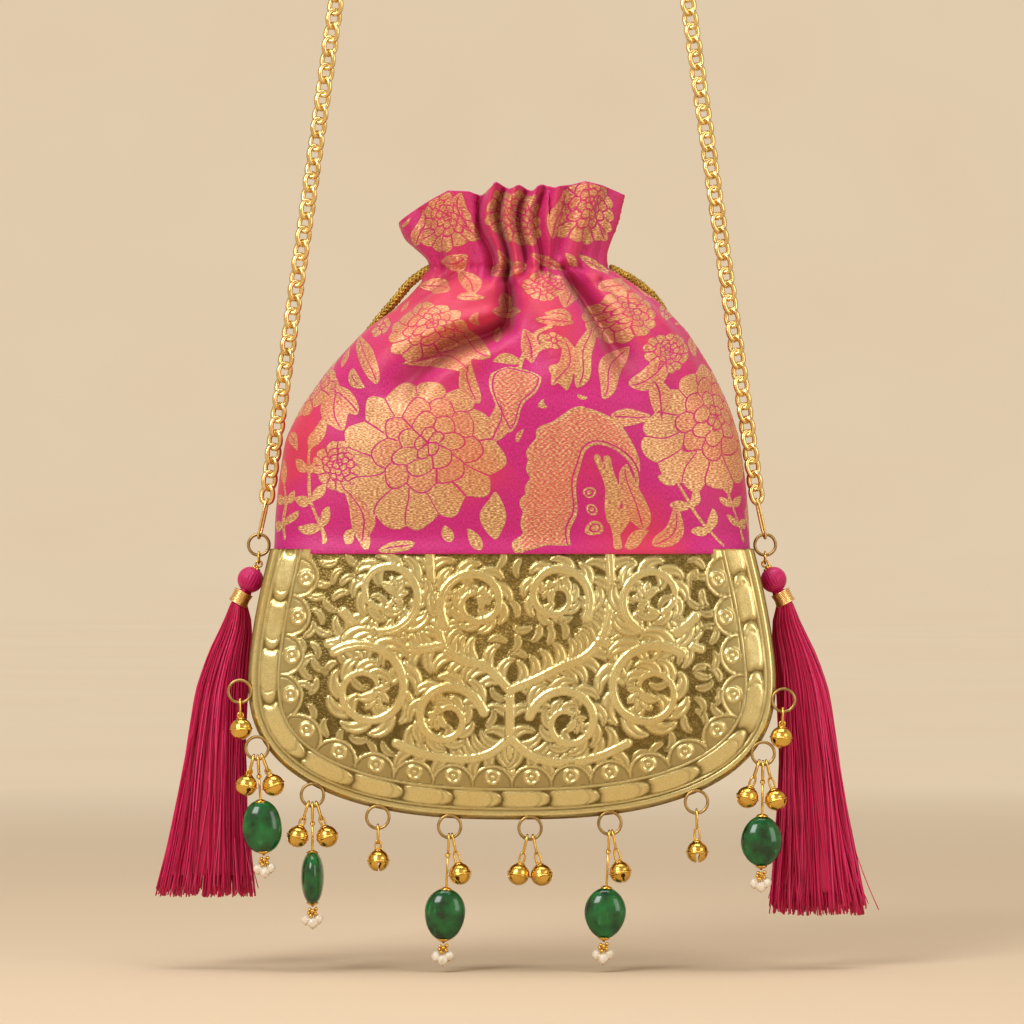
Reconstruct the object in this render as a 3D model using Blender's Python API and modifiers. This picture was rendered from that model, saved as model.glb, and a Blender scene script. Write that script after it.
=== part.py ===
# Potli bag: a cloth pouch in an embossed metal base, hung on a curb chain,
# with thread tassels, jingle bells and bead drops.
# Metres, +Z up, the front faces -Y. The origin is the top of the chain arch.
# Heights named _Z are measured from the mouth of the metal base, up.
import math

import bmesh
import bpy
from mathutils import Matrix, Vector

MM = 0.001
CLEAR = 0.3 * MM

# Metal base
BASE_HALF_WIDTH = 100.5 * MM
BASE_MOUTH_HALF_WIDTH = 92.0 * MM
BASE_WIDEST_Z = -49.0 * MM
BASE_DEPTH_BELOW_WIDEST = 54.0 * MM
BASE_CORNER_POWER = 2.5
BASE_SHOULDER_POWER = 1.5
BAND_WIDTH = 26.0 * MM
BAND_WALL = 1.0 * MM
BAND_STEPS = 18
PLATE_WALL = 1.0 * MM
PLATE_DOME = 10.0 * MM
DOME_POWER = 2.6
DOME_LEVEL_Z = -32.0 * MM
PLATE_HUB_Z = -46.0 * MM
PLATE_RINGS = (1.0, 0.9, 0.62)
MOUTH_EDGE_STEPS = 7
LINING_WALL = 0.8 * MM
LINING_DROP = 1.0 * MM
LINING_SIDE_ROOM = 0.8 * MM
LINING_FACE_ROOM = 2.0 * MM
LINING_BOTTOM_ROOM = 3.0 * MM
LINING_FLOOR_Z = -97.0 * MM
LINING_SIDES = 20
LINING_ROWS = 6
LINING_WIDTH_POWER = 0.75
LINING_DEPTH_POWER = 0.6

# Embossing on the plates
BOSS_COUNT = 20
BOSS_RADIUS = 3.4 * MM
BOSS_INSET = 16.0 * MM
BOSS_RISE = 1.3 * MM
BOSS_SUNK = 1.8 * MM
BOSS_SIDES = 5
BOSS_TOP_SHARE = 0.45
BORDER_STEPS = 180
SCROLL_WIRE_RADIUS = 2.0 * MM
SCROLL_RISE = 1.4 * MM
SCROLL_SUNK = 0.5 * MM
SCROLL_TURNS = 1.15
SCROLL_POINTS = 9
SCROLL_CORE_SHARE = 0.28
# Centre across and up, radius, and the way each scroll of the right half winds
SCROLLS = (
    ((49.0 * MM, -17.0 * MM), 15.0 * MM, 1),
    ((54.0 * MM, -54.0 * MM), 16.0 * MM, -1),
    ((22.0 * MM, -66.5 * MM), 11.5 * MM, 1),
    ((17.5 * MM, -19.0 * MM), 12.0 * MM, -1),
)
# Places across and up of the right half's stem, from the mouth to the middle
STEM_ROUTE = (
    (34.0 * MM, -3.0 * MM),
    (37.0 * MM, -25.0 * MM),
    (34.0 * MM, -40.0 * MM),
    (17.0 * MM, -50.0 * MM),
    (2.0 * MM, -58.0 * MM),
)

# Cloth pouch: height, middle across, half width, half depth, section power, pleat depth
POUCH_WALL = 0.8 * MM
POUCH_COLUMNS = 48
POUCH_PLEATS = 12
POUCH_ROWS = (
    (0.0 * MM, 0.0 * MM, 91.2 * MM, 23.6 * MM, 2.7, 0.0 * MM),
    (12.0 * MM, 0.0 * MM, 90.9 * MM, 26.5 * MM, 2.5, 0.0 * MM),
    (26.0 * MM, 0.0 * MM, 89.5 * MM, 29.0 * MM, 2.3, 0.2 * MM),
    (42.0 * MM, 0.0 * MM, 87.0 * MM, 31.0 * MM, 2.2, 0.5 * MM),
    (54.0 * MM, 1.0 * MM, 82.0 * MM, 31.5 * MM, 2.1, 0.9 * MM),
    (68.0 * MM, 2.5 * MM, 73.5 * MM, 30.0 * MM, 2.1, 1.5 * MM),
    (83.0 * MM, 4.7 * MM, 61.5 * MM, 25.0 * MM, 2.0, 2.0 * MM),
    (95.0 * MM, 7.0 * MM, 47.5 * MM, 19.0 * MM, 2.0, 2.4 * MM),
    (103.0 * MM, 4.5 * MM, 38.0 * MM, 14.0 * MM, 2.0, 2.6 * MM),
    (109.0 * MM, 2.0 * MM, 31.5 * MM, 11.0 * MM, 2.0, 2.8 * MM),
    (115.0 * MM, 0.0 * MM, 35.0 * MM, 11.5 * MM, 2.0, 2.8 * MM),
    (124.0 * MM, -1.0 * MM, 39.5 * MM, 12.5 * MM, 2.0, 3.0 * MM),
    (136.0 * MM, -1.0 * MM, 42.0 * MM, 14.0 * MM, 2.0, 3.2 * MM),
)
RUFFLE_WAVE = 2.6 * MM
RUFFLE_WAVES = 5
RUFFLE_LEFT_DROP = 11.0 * MM
RUFFLE_LEFT_SHARE = 0.4
SECTION_POINTS = 720
FOLD_FACING = 1.3
# Folds of the front, each a line of places across and up, with depth and half width
FOLDS = (
    (((-3.0, 104.0), (-16.0, 84.0), (-31.0, 76.0), (-43.0, 66.0)), -6.5 * MM, 5.0 * MM),
    (((-12.0, 96.0), (-30.0, 92.0), (-46.0, 82.0)), 3.5 * MM, 8.0 * MM),
    (((24.0, 104.0), (41.0, 83.0), (49.0, 68.0)), -6.5 * MM, 5.0 * MM),
    (((6.0, 102.0), (12.0, 84.0), (16.0, 70.0)), 3.5 * MM, 9.0 * MM),
)

# Rings and links
WIRE_SIDES = 3
RING_STEPS = 10
SIDE_RING_RADIUS = 4.0 * MM
SIDE_RING_WIRE = 0.6 * MM
SIDE_RING_Z = 1.5 * MM
EDGE_RING_RADIUS = 4.3 * MM
EDGE_RING_WIRE = 0.6 * MM
EDGE_RING_PROUD = 3.4 * MM
RIM_RISE = 0.2 * MM
CONNECTOR_WIRE = 0.55 * MM
CONNECTOR_HALF_WIDTH = 2.0 * MM
CONNECTOR_LENGTH = 15.4 * MM
CONNECTOR_TURN = math.radians(12)
LINK_FULLNESS = 0.55

# Chain
CHAIN_WIRE = 0.6 * MM
CHAIN_PITCH = 5.24 * MM
CHAIN_LINK_HALF_WIDTH = 2.1 * MM
CHAIN_LINK_TURN = math.radians(38)
CHAIN_LINK_STEPS = 6
CHAIN_FOOT_OUT = 93.9 * MM
CHAIN_SHOULDER_OUT = 62.0 * MM
CHAIN_SHOULDER_Z = 250.0 * MM
CHAIN_TOP_Z = 295.0 * MM
CHAIN_TOP_LINKS = 33
ROUTE_STEPS = 200

# Bells and bead drops
CHARM_WIRE = 0.5 * MM
CHARM_LINK_HALF_WIDTH = 1.7 * MM
CHARM_LINK_LENGTH = 7.0 * MM
CHARM_LEAN = 1.3
BELL_RADIUS = 4.2 * MM
BELL_WALL = 0.7 * MM
BELL_SIDES = 8
BELL_ROWS = 5
BELL_SLOT = 1.0 * MM
BELL_SLOT_LENGTH = 6.3 * MM
BELL_NECK_RADIUS = 0.9 * MM
BELL_NECK_SUNK = 0.4 * MM
BELL_NECK_SIDES = 4
BEAD_HALF_WIDTH = 7.75 * MM
BEAD_HALF_THICKNESS = 4.5 * MM
BEAD_HALF_HEIGHT = 10.0 * MM
BEAD_PIN_OVER = 1.0 * MM
BEAD_SIDES = 8
BEAD_ROWS = 6
BORE_OVER = 2.0 * MM
BORE_SIDES = 6
PIN_SIDES = 5
SEED_RADIUS = 2.1 * MM
SEED_SIDES = 6
PEARL_RADIUS = 1.9 * MM
PEARL_SIDES = 5
PEARL_ROWS = 3
# Each pearl's place across and its fall below the middle of the seeds
PEARL_PLACES = ((-2.5 * MM, 2.4 * MM), (2.5 * MM, 2.4 * MM), (0.0 * MM, 3.6 * MM))
# Edge rings: side of the bag and degrees down its edge from the widest point,
# the bells on the ring, each as its place from the ring's centre, and the bead
# drop on it, as its place across, its depth below and its quarter turns
EDGE_RINGS = (
    (-1, 3.0, ((0.4 * MM, -14.3 * MM),), None),
    (-1, 22.5, ((-4.2 * MM, -14.2 * MM), (6.2 * MM, -14.2 * MM)), (1.9 * MM, -30.0 * MM, 0)),
    (-1, 46.5, ((-5.6 * MM, -15.8 * MM), (5.6 * MM, -15.8 * MM)), (0.0 * MM, -31.5 * MM, 1)),
    (-1, 65.0, ((0.2 * MM, -16.5 * MM),), None),
    (-1, 80.6, ((4.0 * MM, -18.0 * MM),), (-1.8 * MM, -33.5 * MM, 0)),
    (1, 88.0, ((-4.4 * MM, -17.6 * MM), (4.4 * MM, -17.9 * MM)), None),
    (1, 73.4, ((4.0 * MM, -18.6 * MM),), (-1.8 * MM, -34.2 * MM, 0)),
    (1, 51.3, ((0.3 * MM, -19.0 * MM),), None),
    (1, 24.8, ((-6.0 * MM, -16.7 * MM), (4.8 * MM, -17.6 * MM)), (-0.6 * MM, -33.4 * MM, 0)),
    (1, 5.5, ((-0.8 * MM, -14.2 * MM),), None),
)

# Tassels
JUMP_RING_RADIUS = 2.3 * MM
JUMP_RING_WIRE = 0.45 * MM
TASSEL_EYE_RADIUS = 1.2 * MM
TASSEL_EYE_WIRE = 0.4 * MM
TASSEL_EYE_STEPS = 8
TASSEL_SHANK_RADIUS = 0.64 * MM
TASSEL_SHANK_SUNK = 1.0 * MM
TASSEL_SHANK_SIDES = 5
TASSEL_HEAD_RADIUS = 4.9 * MM
TASSEL_HEAD_SIDES = 10
TASSEL_HEAD_ROWS = 6
TASSEL_HEAD_DROP = 6.9 * MM
TASSEL_LEAN = math.radians(28)
TASSEL_NECK_RADIUS = 2.7 * MM
WRAP_RADIUS = 4.1 * MM
WRAP_HEIGHT = 5.3 * MM
WRAP_SIDES = 10
SKIRT_COLUMNS = 16
SKIRT_RIDGE = 0.05
# Skirt below the wrap: depth below the base's mouth, how far its inner side
# clears the base's half width there, its width and its thickness
SKIRT_ROWS = (
    (28.0 * MM, 1.6 * MM, 11.0 * MM, 9.0 * MM),
    (40.0 * MM, 1.0 * MM, 16.0 * MM, 11.0 * MM),
    (54.0 * MM, 1.0 * MM, 20.5 * MM, 12.0 * MM),
    (80.0 * MM, 1.3 * MM, 24.5 * MM, 13.0 * MM),
    (110.0 * MM, 0.6 * MM, 30.0 * MM, 14.0 * MM),
)
SKIRT_LENGTHS = (134.0 * MM, 141.0 * MM)
SKIRT_END_WIDTH = 34.0 * MM
SKIRT_BACK = 4.0 * MM

# Drawstring behind the pouch
CORD_RADIUS = 2.0 * MM
CORD_POINTS = 42
CORD_SPLITS = 20
# The cord's route in millimetres, from the left of the neck down the back and up to the right
CORD_ROUTE = (
    (-31.2, 3.9, 108.0),
    (-38.6, 4.4, 102.8),
    (-45.0, 7.2, 95.5),
    (-52.0, 12.2, 87.5),
    (-57.5, 16.4, 79.0),
    (-59.5, 23.4, 66.0),
    (-56.0, 28.4, 50.0),
    (-46.0, 30.6, 35.0),
    (-31.0, 30.4, 24.0),
    (-15.0, 30.0, 17.5),
    (1.0, 29.8, 15.5),
    (17.0, 30.0, 17.5),
    (33.0, 30.3, 24.0),
    (48.0, 30.4, 35.0),
    (59.0, 27.9, 50.0),
    (63.5, 23.6, 66.0),
    (62.5, 17.6, 80.0),
    (59.5, 13.0, 89.5),
    (54.0, 10.0, 97.5),
    (46.2, 6.8, 103.6),
    (37.5, 4.9, 108.0),
)

COLOURS = {
    "embossed metal": ((0.43, 0.35, 0.15), 0.36, 1.0),
    "band metal": ((0.33, 0.20, 0.10), 0.45, 1.0),
    "magenta brocade": ((0.67, 0.01, 0.24), 0.55, 0.0),
    "lining cloth": ((0.35, 0.02, 0.10), 0.9, 0.0),
    "gold cord": ((0.55, 0.36, 0.05), 0.5, 0.3),
    "antique brass": ((0.31, 0.21, 0.09), 0.4, 1.0),
    "gilt chain": ((0.75, 0.50, 0.16), 0.28, 1.0),
    "bell brass": ((0.67, 0.36, 0.03), 0.3, 1.0),
    "tassel thread": ((0.52, 0.01, 0.07), 0.6, 0.0),
    "green bead": ((0.01, 0.11, 0.03), 0.15, 0.0),
    "pearl": ((0.80, 0.74, 0.62), 0.25, 0.0),
}


def start_collections():
    """Empty the file and return the model's and the cutters' collections."""
    for obj in list(bpy.data.objects):
        bpy.data.objects.remove(obj)
    made = []
    for name in ("potli_bag", "cutters"):
        collection = bpy.data.collections.new(name)
        bpy.context.scene.collection.children.link(collection)
        made.append(collection)
    return made


MODEL, CUTTERS = start_collections()
BAG_ZERO = Vector((0, 0, -CHAIN_TOP_Z))


def material(name):
    """One Principled material for each finish, shared by name."""
    found = bpy.data.materials.get(name)
    if found:
        return found
    colour, roughness, metallic = COLOURS[name]
    made = bpy.data.materials.new(name)
    made.use_nodes = True
    shader = made.node_tree.nodes["Principled BSDF"]
    shader.inputs["Base Color"].default_value = (*colour, 1)
    shader.inputs["Roughness"].default_value = roughness
    shader.inputs["Metallic"].default_value = metallic
    return made


def joint_empty(name, place, parent=None):
    """An empty on a joint's axis, at a place in the bag's own frame."""
    empty = bpy.data.objects.new(name, None)
    empty.empty_display_size = 5 * MM
    MODEL.objects.link(empty)
    empty.location = Vector(place) + BAG_ZERO
    if parent:
        empty.parent = parent
        empty.location -= world_place(parent)
    return empty


def world_place(obj):
    """World location of an unrotated object, summed up its parents."""
    place = Vector((0, 0, 0))
    while obj:
        place += obj.location
        obj = obj.parent
    return place


def add_part(name, bm, finish, place=(0, 0, 0), parent=None, round_angle=40):
    """Make a named part from a bmesh authored around `place` of the bag's frame."""
    bmesh.ops.recalc_face_normals(bm, faces=bm.faces)
    mesh = bpy.data.meshes.new(name)
    bm.to_mesh(mesh)
    bm.free()
    mesh.shade_smooth()
    mesh.set_sharp_from_angle(angle=math.radians(round_angle))
    part = bpy.data.objects.new(name, mesh)
    MODEL.objects.link(part)
    mesh.materials.append(material(finish))
    part.location = Vector(place) + BAG_ZERO
    if parent:
        part.parent = parent
        part.location -= world_place(parent)
    return part


def add_cutter(name, bm, target, operation, place=(0, 0, 0)):
    """Join or cut `target` with a hidden shape authored around `place`."""
    bmesh.ops.recalc_face_normals(bm, faces=bm.faces)
    mesh = bpy.data.meshes.new(name)
    bm.to_mesh(mesh)
    bm.free()
    cutter = bpy.data.objects.new(name, mesh)
    CUTTERS.objects.link(cutter)
    cutter.location = Vector(place) + BAG_ZERO
    cutter.hide_render = True
    cutter.display_type = "WIRE"
    step = target.modifiers.new(name, "BOOLEAN")
    step.operation = operation
    step.object = cutter
    step.solver = "EXACT"
    step.use_self = operation == "UNION"
    return cutter


def add_solidify(part, wall):
    """Thicken an open surface inwards."""
    step = part.modifiers.new("wall", "SOLIDIFY")
    step.thickness = wall
    step.offset = -1
    step.use_even_offset = False


def skin_rows(bm, rows, closed=True, cap_start=False, cap_end=False):
    """Faces between rows of vertices, with optional caps."""
    count = len(rows[0])
    steps = count if closed else count - 1
    for upper, lower in zip(rows, rows[1:]):
        for i in range(steps):
            j = (i + 1) % count
            bm.faces.new((upper[i], lower[i], lower[j], upper[j]))
    if cap_start:
        bm.faces.new(rows[0])
    if cap_end:
        bm.faces.new(reversed(rows[-1]))


def wire_ring(bm, across, along, centre, half_width, half_length, wire, steps, fullness=1.0):
    """A closed wire ring, round or oval; returns its rings of vertices, the first at +across.

    A fullness under 1 makes an oval's ends blunt, as a long link's are.
    """
    across = Vector(across).normalized()
    along = Vector(along).normalized()
    side = across.cross(along)
    flat = math.cos(math.pi / steps) if steps <= CHAIN_LINK_STEPS else 1
    rings = []
    for i in range(steps):
        turn = 2 * math.pi * i / steps
        cosine, sine = math.cos(turn), math.sin(turn)
        reach = half_width * math.copysign(abs(cosine) ** fullness, cosine)
        spoke = Vector(centre) + across * reach + along * sine * half_length / flat
        out = (across * cosine / half_width + along * sine / half_length).normalized()
        ring = []
        for k in range(WIRE_SIDES):
            roll = 2 * math.pi * k / WIRE_SIDES
            ring.append(bm.verts.new(spoke + (out * math.cos(roll) + side * math.sin(roll)) * wire))
        rings.append(ring)
    skin_rows(bm, rings + rings[:1])
    return rings


def ball(bm, centre, radii, segments, rows):
    """A ball or egg of given radii."""
    place = Matrix.Translation(centre) @ Matrix.Diagonal((*radii, 1))
    bmesh.ops.create_uvsphere(bm, u_segments=segments, v_segments=rows, radius=1, matrix=place)


def rod(bm, start, end, radius, sides, end_radius=None):
    """A round rod or cone from start to end, with caps."""
    start = Vector(start)
    line = Vector(end) - start
    turn = line.to_track_quat("Z", "Y").to_matrix().to_4x4()
    place = Matrix.Translation(start + line / 2) @ turn
    top = radius if end_radius is None else end_radius
    bmesh.ops.create_cone(bm, cap_ends=True, segments=sides, radius1=radius, radius2=top,
                          depth=line.length, matrix=place)


def base_half_width(z):
    """Half width of the metal base at a height below its mouth."""
    if z >= BASE_WIDEST_Z:
        share = (z - BASE_WIDEST_Z) / -BASE_WIDEST_Z
        narrowing = (BASE_HALF_WIDTH - BASE_MOUTH_HALF_WIDTH) * share ** BASE_SHOULDER_POWER
        return BASE_HALF_WIDTH - narrowing
    share = min((BASE_WIDEST_Z - z) / BASE_DEPTH_BELOW_WIDEST, 1)
    return BASE_HALF_WIDTH * (1 - share ** BASE_CORNER_POWER) ** (1 / BASE_CORNER_POWER)


def edge_point(degrees, side=1, proud=0.0):
    """Point on the base's lower edge, `degrees` down from its widest point."""
    def on_edge(angle):
        power = 2 / BASE_CORNER_POWER
        return Vector((BASE_HALF_WIDTH * math.cos(angle) ** power,
                       BASE_WIDEST_Z - BASE_DEPTH_BELOW_WIDEST * math.sin(angle) ** power))
    angle = math.radians(degrees)
    nudge = math.radians(0.5)
    run = on_edge(min(angle + nudge, math.pi / 2)) - on_edge(max(angle - nudge, 0))
    out = Vector((-run.y, run.x)).normalized()
    point = on_edge(angle) + out * proud
    return Vector((side * point.x, point.y))


def base_outline(inset=0.0, steps=BAND_STEPS):
    """Edge of the base from the right mouth corner round the bottom to the left."""
    upper = steps // 3
    right = []
    for i in range(upper):
        z = BASE_WIDEST_Z * i / upper
        right.append(Vector((base_half_width(z) - inset, z)))
    for i in range(steps - upper):
        right.append(edge_point(90 * i / (steps - upper), 1, -inset))
    bottom = Vector((0, BASE_WIDEST_Z - BASE_DEPTH_BELOW_WIDEST + inset))
    return right + [bottom] + [Vector((-p.x, p.y)) for p in reversed(right)]


def dome_height(x, z):
    """How far a plate stands out from its rim at a place across and up."""
    width = max(base_half_width(z), MM)
    across = max(1 - (abs(x) / width) ** DOME_POWER, 0)
    bottom = BASE_WIDEST_Z - BASE_DEPTH_BELOW_WIDEST
    drop = max(DOME_LEVEL_Z - z, 0) / (DOME_LEVEL_Z - bottom)
    return PLATE_DOME * across * max(1 - drop ** DOME_POWER, 0)


def plate_face(x, z):
    """Distance of a plate's outer face from the bag's middle plane."""
    return BAND_WIDTH / 2 + CLEAR + PLATE_WALL + dome_height(x, z)


def make_band(bag):
    """The strip that joins the two plates round the edge."""
    bm = bmesh.new()
    outline = base_outline()
    rows = []
    for across in (-1, 1):
        y = across * BAND_WIDTH / 2
        rows.append([bm.verts.new((p.x, y, p.y)) for p in outline])
    skin_rows(bm, rows, closed=False)
    band = add_part("side_band", bm, "band metal", parent=bag)
    add_solidify(band, BAND_WALL)


def scroll_route(centre, radius, winds):
    """Places along one leaf scroll, from its outer end to its core."""
    route = []
    for i in range(SCROLL_POINTS):
        share = i / (SCROLL_POINTS - 1)
        reach = radius * (1 - share * (1 - SCROLL_CORE_SHARE))
        turn = math.radians(-90) + winds * share * SCROLL_TURNS * 2 * math.pi
        route.append((centre[0] + reach * math.cos(turn), centre[1] + reach * math.sin(turn)))
    return route


def relief_wire(bm, route, radius, front, closed=False):
    """A half-sunk bead along a route on a plate."""
    rings = []
    count = len(route)
    for i, (x, z) in enumerate(route):
        before = route[i - 1] if i or closed else route[i]
        after = route[(i + 1) % count] if i < count - 1 or closed else route[i]
        run = Vector((after[0] - before[0], 0, after[1] - before[1])).normalized()
        across = Vector((run.z, 0, -run.x))
        out = Vector((0, front, 0))
        centre = Vector((x, front * plate_face(x, z), z))
        foot = out * SCROLL_SUNK
        spots = (across * radius - foot, out * SCROLL_RISE, -across * radius - foot)
        rings.append([bm.verts.new(centre + spot) for spot in spots])
    if closed:
        skin_rows(bm, rings + rings[:1])
    else:
        skin_rows(bm, rings, cap_start=True, cap_end=True)


def make_plate(name, front, bag):
    """One domed and embossed plate; `front` is -1 for the front and 1 for the back."""
    outline = base_outline()
    left = outline[-1].x
    right = outline[0].x
    for i in range(1, MOUTH_EDGE_STEPS):
        outline.append(Vector((left + (right - left) * i / MOUTH_EDGE_STEPS, 0)))
    hub = Vector((0, PLATE_HUB_Z))
    bm = bmesh.new()
    rows = []
    for ring in PLATE_RINGS:
        row = []
        for point in outline:
            spot = hub + (point - hub) * ring
            row.append(bm.verts.new((spot.x, front * plate_face(spot.x, spot.y), spot.y)))
        rows.append(row)
    skin_rows(bm, rows)
    middle = bm.verts.new((hub.x, front * plate_face(hub.x, hub.y), hub.y))
    inner = rows[-1]
    for i, vert in enumerate(inner):
        bm.faces.new((vert, middle, inner[(i + 1) % len(inner)]))
    plate = add_part(name, bm, "embossed metal", parent=bag, round_angle=60)
    if plate.data.polygons[0].normal.y * front < 0:
        plate.data.flip_normals()
    add_solidify(plate, PLATE_WALL)
    emboss(plate, front)


def border_places():
    """Places of the bosses, evenly along the edge's inset line."""
    edge = base_outline(0.0, BORDER_STEPS)
    line = []
    for before, after in zip(edge, edge[1:]):
        run = (after - before).normalized()
        line.append((before + after) / 2 + Vector((run.y, -run.x)) * BOSS_INSET)
    reach = [0.0]
    for before, after in zip(line, line[1:]):
        reach.append(reach[-1] + (after - before).length)
    places = []
    for i in range(BOSS_COUNT):
        want = reach[-1] * (i + 0.5) / BOSS_COUNT
        places.append(line[min(range(len(line)), key=lambda k: abs(reach[k] - want))])
    return places


def emboss(plate, front):
    """Raised border bosses, scrolls and stems, joined to a plate."""
    bm = bmesh.new()
    for spot in border_places():
        face = front * plate_face(spot.x, spot.y)
        base = Vector((spot.x, face - front * BOSS_SUNK, spot.y))
        tip = Vector((spot.x, face + front * BOSS_RISE, spot.y))
        rod(bm, base, tip, BOSS_RADIUS, BOSS_SIDES, BOSS_RADIUS * BOSS_TOP_SHARE)
    for (x, z), radius, winds in SCROLLS:
        for side in (1, -1):
            route = scroll_route((side * x, z), radius, side * winds)
            relief_wire(bm, route, SCROLL_WIRE_RADIUS, front)
    for side in (1, -1):
        stem = [(side * x, z) for x, z in STEM_ROUTE]
        relief_wire(bm, stem, SCROLL_WIRE_RADIUS, front)
    add_cutter(plate.name + "_relief", bm, plate, "UNION")


def make_lining(bag):
    """The cloth sack that lines the metal base, open at the mouth."""
    bm = bmesh.new()
    rows = []
    top = -LINING_DROP
    for i in range(LINING_ROWS + 1):
        z = top + (LINING_FLOOR_Z - top) * i / LINING_ROWS
        edge = min(base_half_width(z), base_half_width(z - LINING_BOTTOM_ROOM))
        half_width = edge - BAND_WALL - LINING_SIDE_ROOM
        row = []
        for k in range(LINING_SIDES):
            turn = 2 * math.pi * k / LINING_SIDES
            cosine, sine = math.cos(turn), math.sin(turn)
            x = half_width * math.copysign(abs(cosine) ** LINING_WIDTH_POWER, cosine)
            reach = plate_face(x, z) - PLATE_WALL - LINING_FACE_ROOM
            y = reach * math.copysign(abs(sine) ** LINING_DEPTH_POWER, sine)
            row.append(bm.verts.new((x, y, z)))
        rows.append(row)
    skin_rows(bm, rows, cap_end=True)
    lining = add_part("lining", bm, "lining cloth", parent=bag)
    add_solidify(lining, LINING_WALL)


def fold_shift(x, z):
    """How far the folds push the cloth out at a place across and up."""
    shift = 0.0
    for line, depth, spread in FOLDS:
        nearest = min(distance_to_segment(x, z, start, end) for start, end in zip(line, line[1:]))
        shift += depth * math.exp(-(nearest / spread) ** 2)
    return shift


def distance_to_segment(x, z, start, end):
    """Distance from a place to a piece of a fold line given in millimetres."""
    a = Vector(start) * MM
    run = Vector(end) * MM - a
    share = max(0, min(1, (Vector((x, z)) - a).dot(run) / run.length_squared))
    return (Vector((x, z)) - a - run * share).length


def pouch_section(half_width, half_depth, power):
    """Evenly spaced points and normals round one level of the pouch."""
    loop = []
    for i in range(SECTION_POINTS + 1):
        turn = 2 * math.pi * i / SECTION_POINTS - math.pi / 2
        cosine, sine = math.cos(turn), math.sin(turn)
        loop.append(Vector((half_width * math.copysign(abs(cosine) ** (2 / power), cosine),
                            half_depth * math.copysign(abs(sine) ** (2 / power), sine))))
    reach = [0.0]
    for a, b in zip(loop, loop[1:]):
        reach.append(reach[-1] + (b - a).length)
    points = []
    spot = 0
    for k in range(POUCH_COLUMNS):
        want = reach[-1] * k / POUCH_COLUMNS
        while reach[spot + 1] < want:
            spot += 1
        share = (want - reach[spot]) / (reach[spot + 1] - reach[spot])
        run = loop[spot + 1] - loop[spot]
        points.append((loop[spot] + run * share, Vector((run.y, -run.x)).normalized()))
    return points


def make_pouch(bag):
    """The gathered cloth pouch with pleats, folds and a ruffled mouth."""
    bm = bmesh.new()
    rows = []
    neck_z = min(POUCH_ROWS, key=lambda row: row[2])[0]
    top_z = POUCH_ROWS[-1][0]
    for z, middle, half_width, half_depth, power, pleat in POUCH_ROWS:
        row = []
        ruffle = max(z - neck_z, 0) / (top_z - neck_z)
        for k, (point, out) in enumerate(pouch_section(half_width, half_depth, power)):
            turn = 2 * math.pi * k / POUCH_COLUMNS
            shift = pleat * math.cos(POUCH_PLEATS * turn)
            facing = min(abs(out.y) * FOLD_FACING, 1)
            side = 1 if out.y < 0 else -1
            shift += fold_shift(side * (middle + point.x), z) * facing * (1 - ruffle)
            spot = point + out * shift
            corner = max(-point.x / half_width - 1 + RUFFLE_LEFT_SHARE, 0) / RUFFLE_LEFT_SHARE
            wave = RUFFLE_WAVE * math.sin(RUFFLE_WAVES * turn + 1)
            lift = ruffle * (wave - RUFFLE_LEFT_DROP * corner)
            row.append(bm.verts.new((middle + spot.x, spot.y, z + CLEAR + lift)))
        rows.append(row)
    skin_rows(bm, rows)
    pouch = add_part("pouch", bm, "magenta brocade", parent=bag, round_angle=70)
    add_solidify(pouch, POUCH_WALL)


def smooth_route(points, count):
    """Evenly shared points on one smooth curve through the route's own points."""
    points = [Vector(p) for p in points]
    padded = [points[0] * 2 - points[1]] + points + [points[-1] * 2 - points[-2]]
    dense = []
    for a, b, c, d in zip(padded, padded[1:], padded[2:], padded[3:]):
        for i in range(CORD_SPLITS):
            t = i / CORD_SPLITS
            dense.append(0.5 * ((2 * b) + (c - a) * t + (2 * a - 5 * b + 4 * c - d) * t * t
                                + (3 * b - a - 3 * c + d) * t ** 3))
    dense.append(points[-1])
    return [dense[round(i * (len(dense) - 1) / (count - 1))] for i in range(count)]


def make_drawstring(bag):
    """The cord loop that hangs behind the pouch from both sides of the neck."""
    route = [Vector(place) * MM for place in CORD_ROUTE]
    curve = bpy.data.curves.new("drawstring_loop", "CURVE")
    curve.dimensions = "3D"
    curve.bevel_depth = CORD_RADIUS
    curve.bevel_resolution = 2
    curve.use_fill_caps = True
    places = smooth_route(route, CORD_POINTS)
    spline = curve.splines.new("POLY")
    spline.points.add(len(places) - 1)
    for point, place in zip(spline.points, places):
        point.co = (*place, 1)
    curve.materials.append(material("gold cord"))
    cord = bpy.data.objects.new("drawstring_loop", curve)
    MODEL.objects.link(cord)
    cord.parent = bag
    cord.location = BAG_ZERO - world_place(bag)


def side_ring_centre(side):
    """Centre of the ring at the base's mouth corner."""
    reach = SIDE_RING_RADIUS + SIDE_RING_WIRE + CLEAR
    return Vector((side * (BASE_MOUTH_HALF_WIDTH + reach + CLEAR), 0, SIDE_RING_Z))


def make_side_ring(name, side, bag):
    """The ring that carries the chain and a tassel at one side."""
    bm = bmesh.new()
    centre = side_ring_centre(side)
    wire_ring(bm, (1, 0, 0), (0, 0, 1), (0, 0, 0), SIDE_RING_RADIUS, SIDE_RING_RADIUS,
              SIDE_RING_WIRE, RING_STEPS)
    add_part(name, bm, "antique brass", centre, bag)


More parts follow.
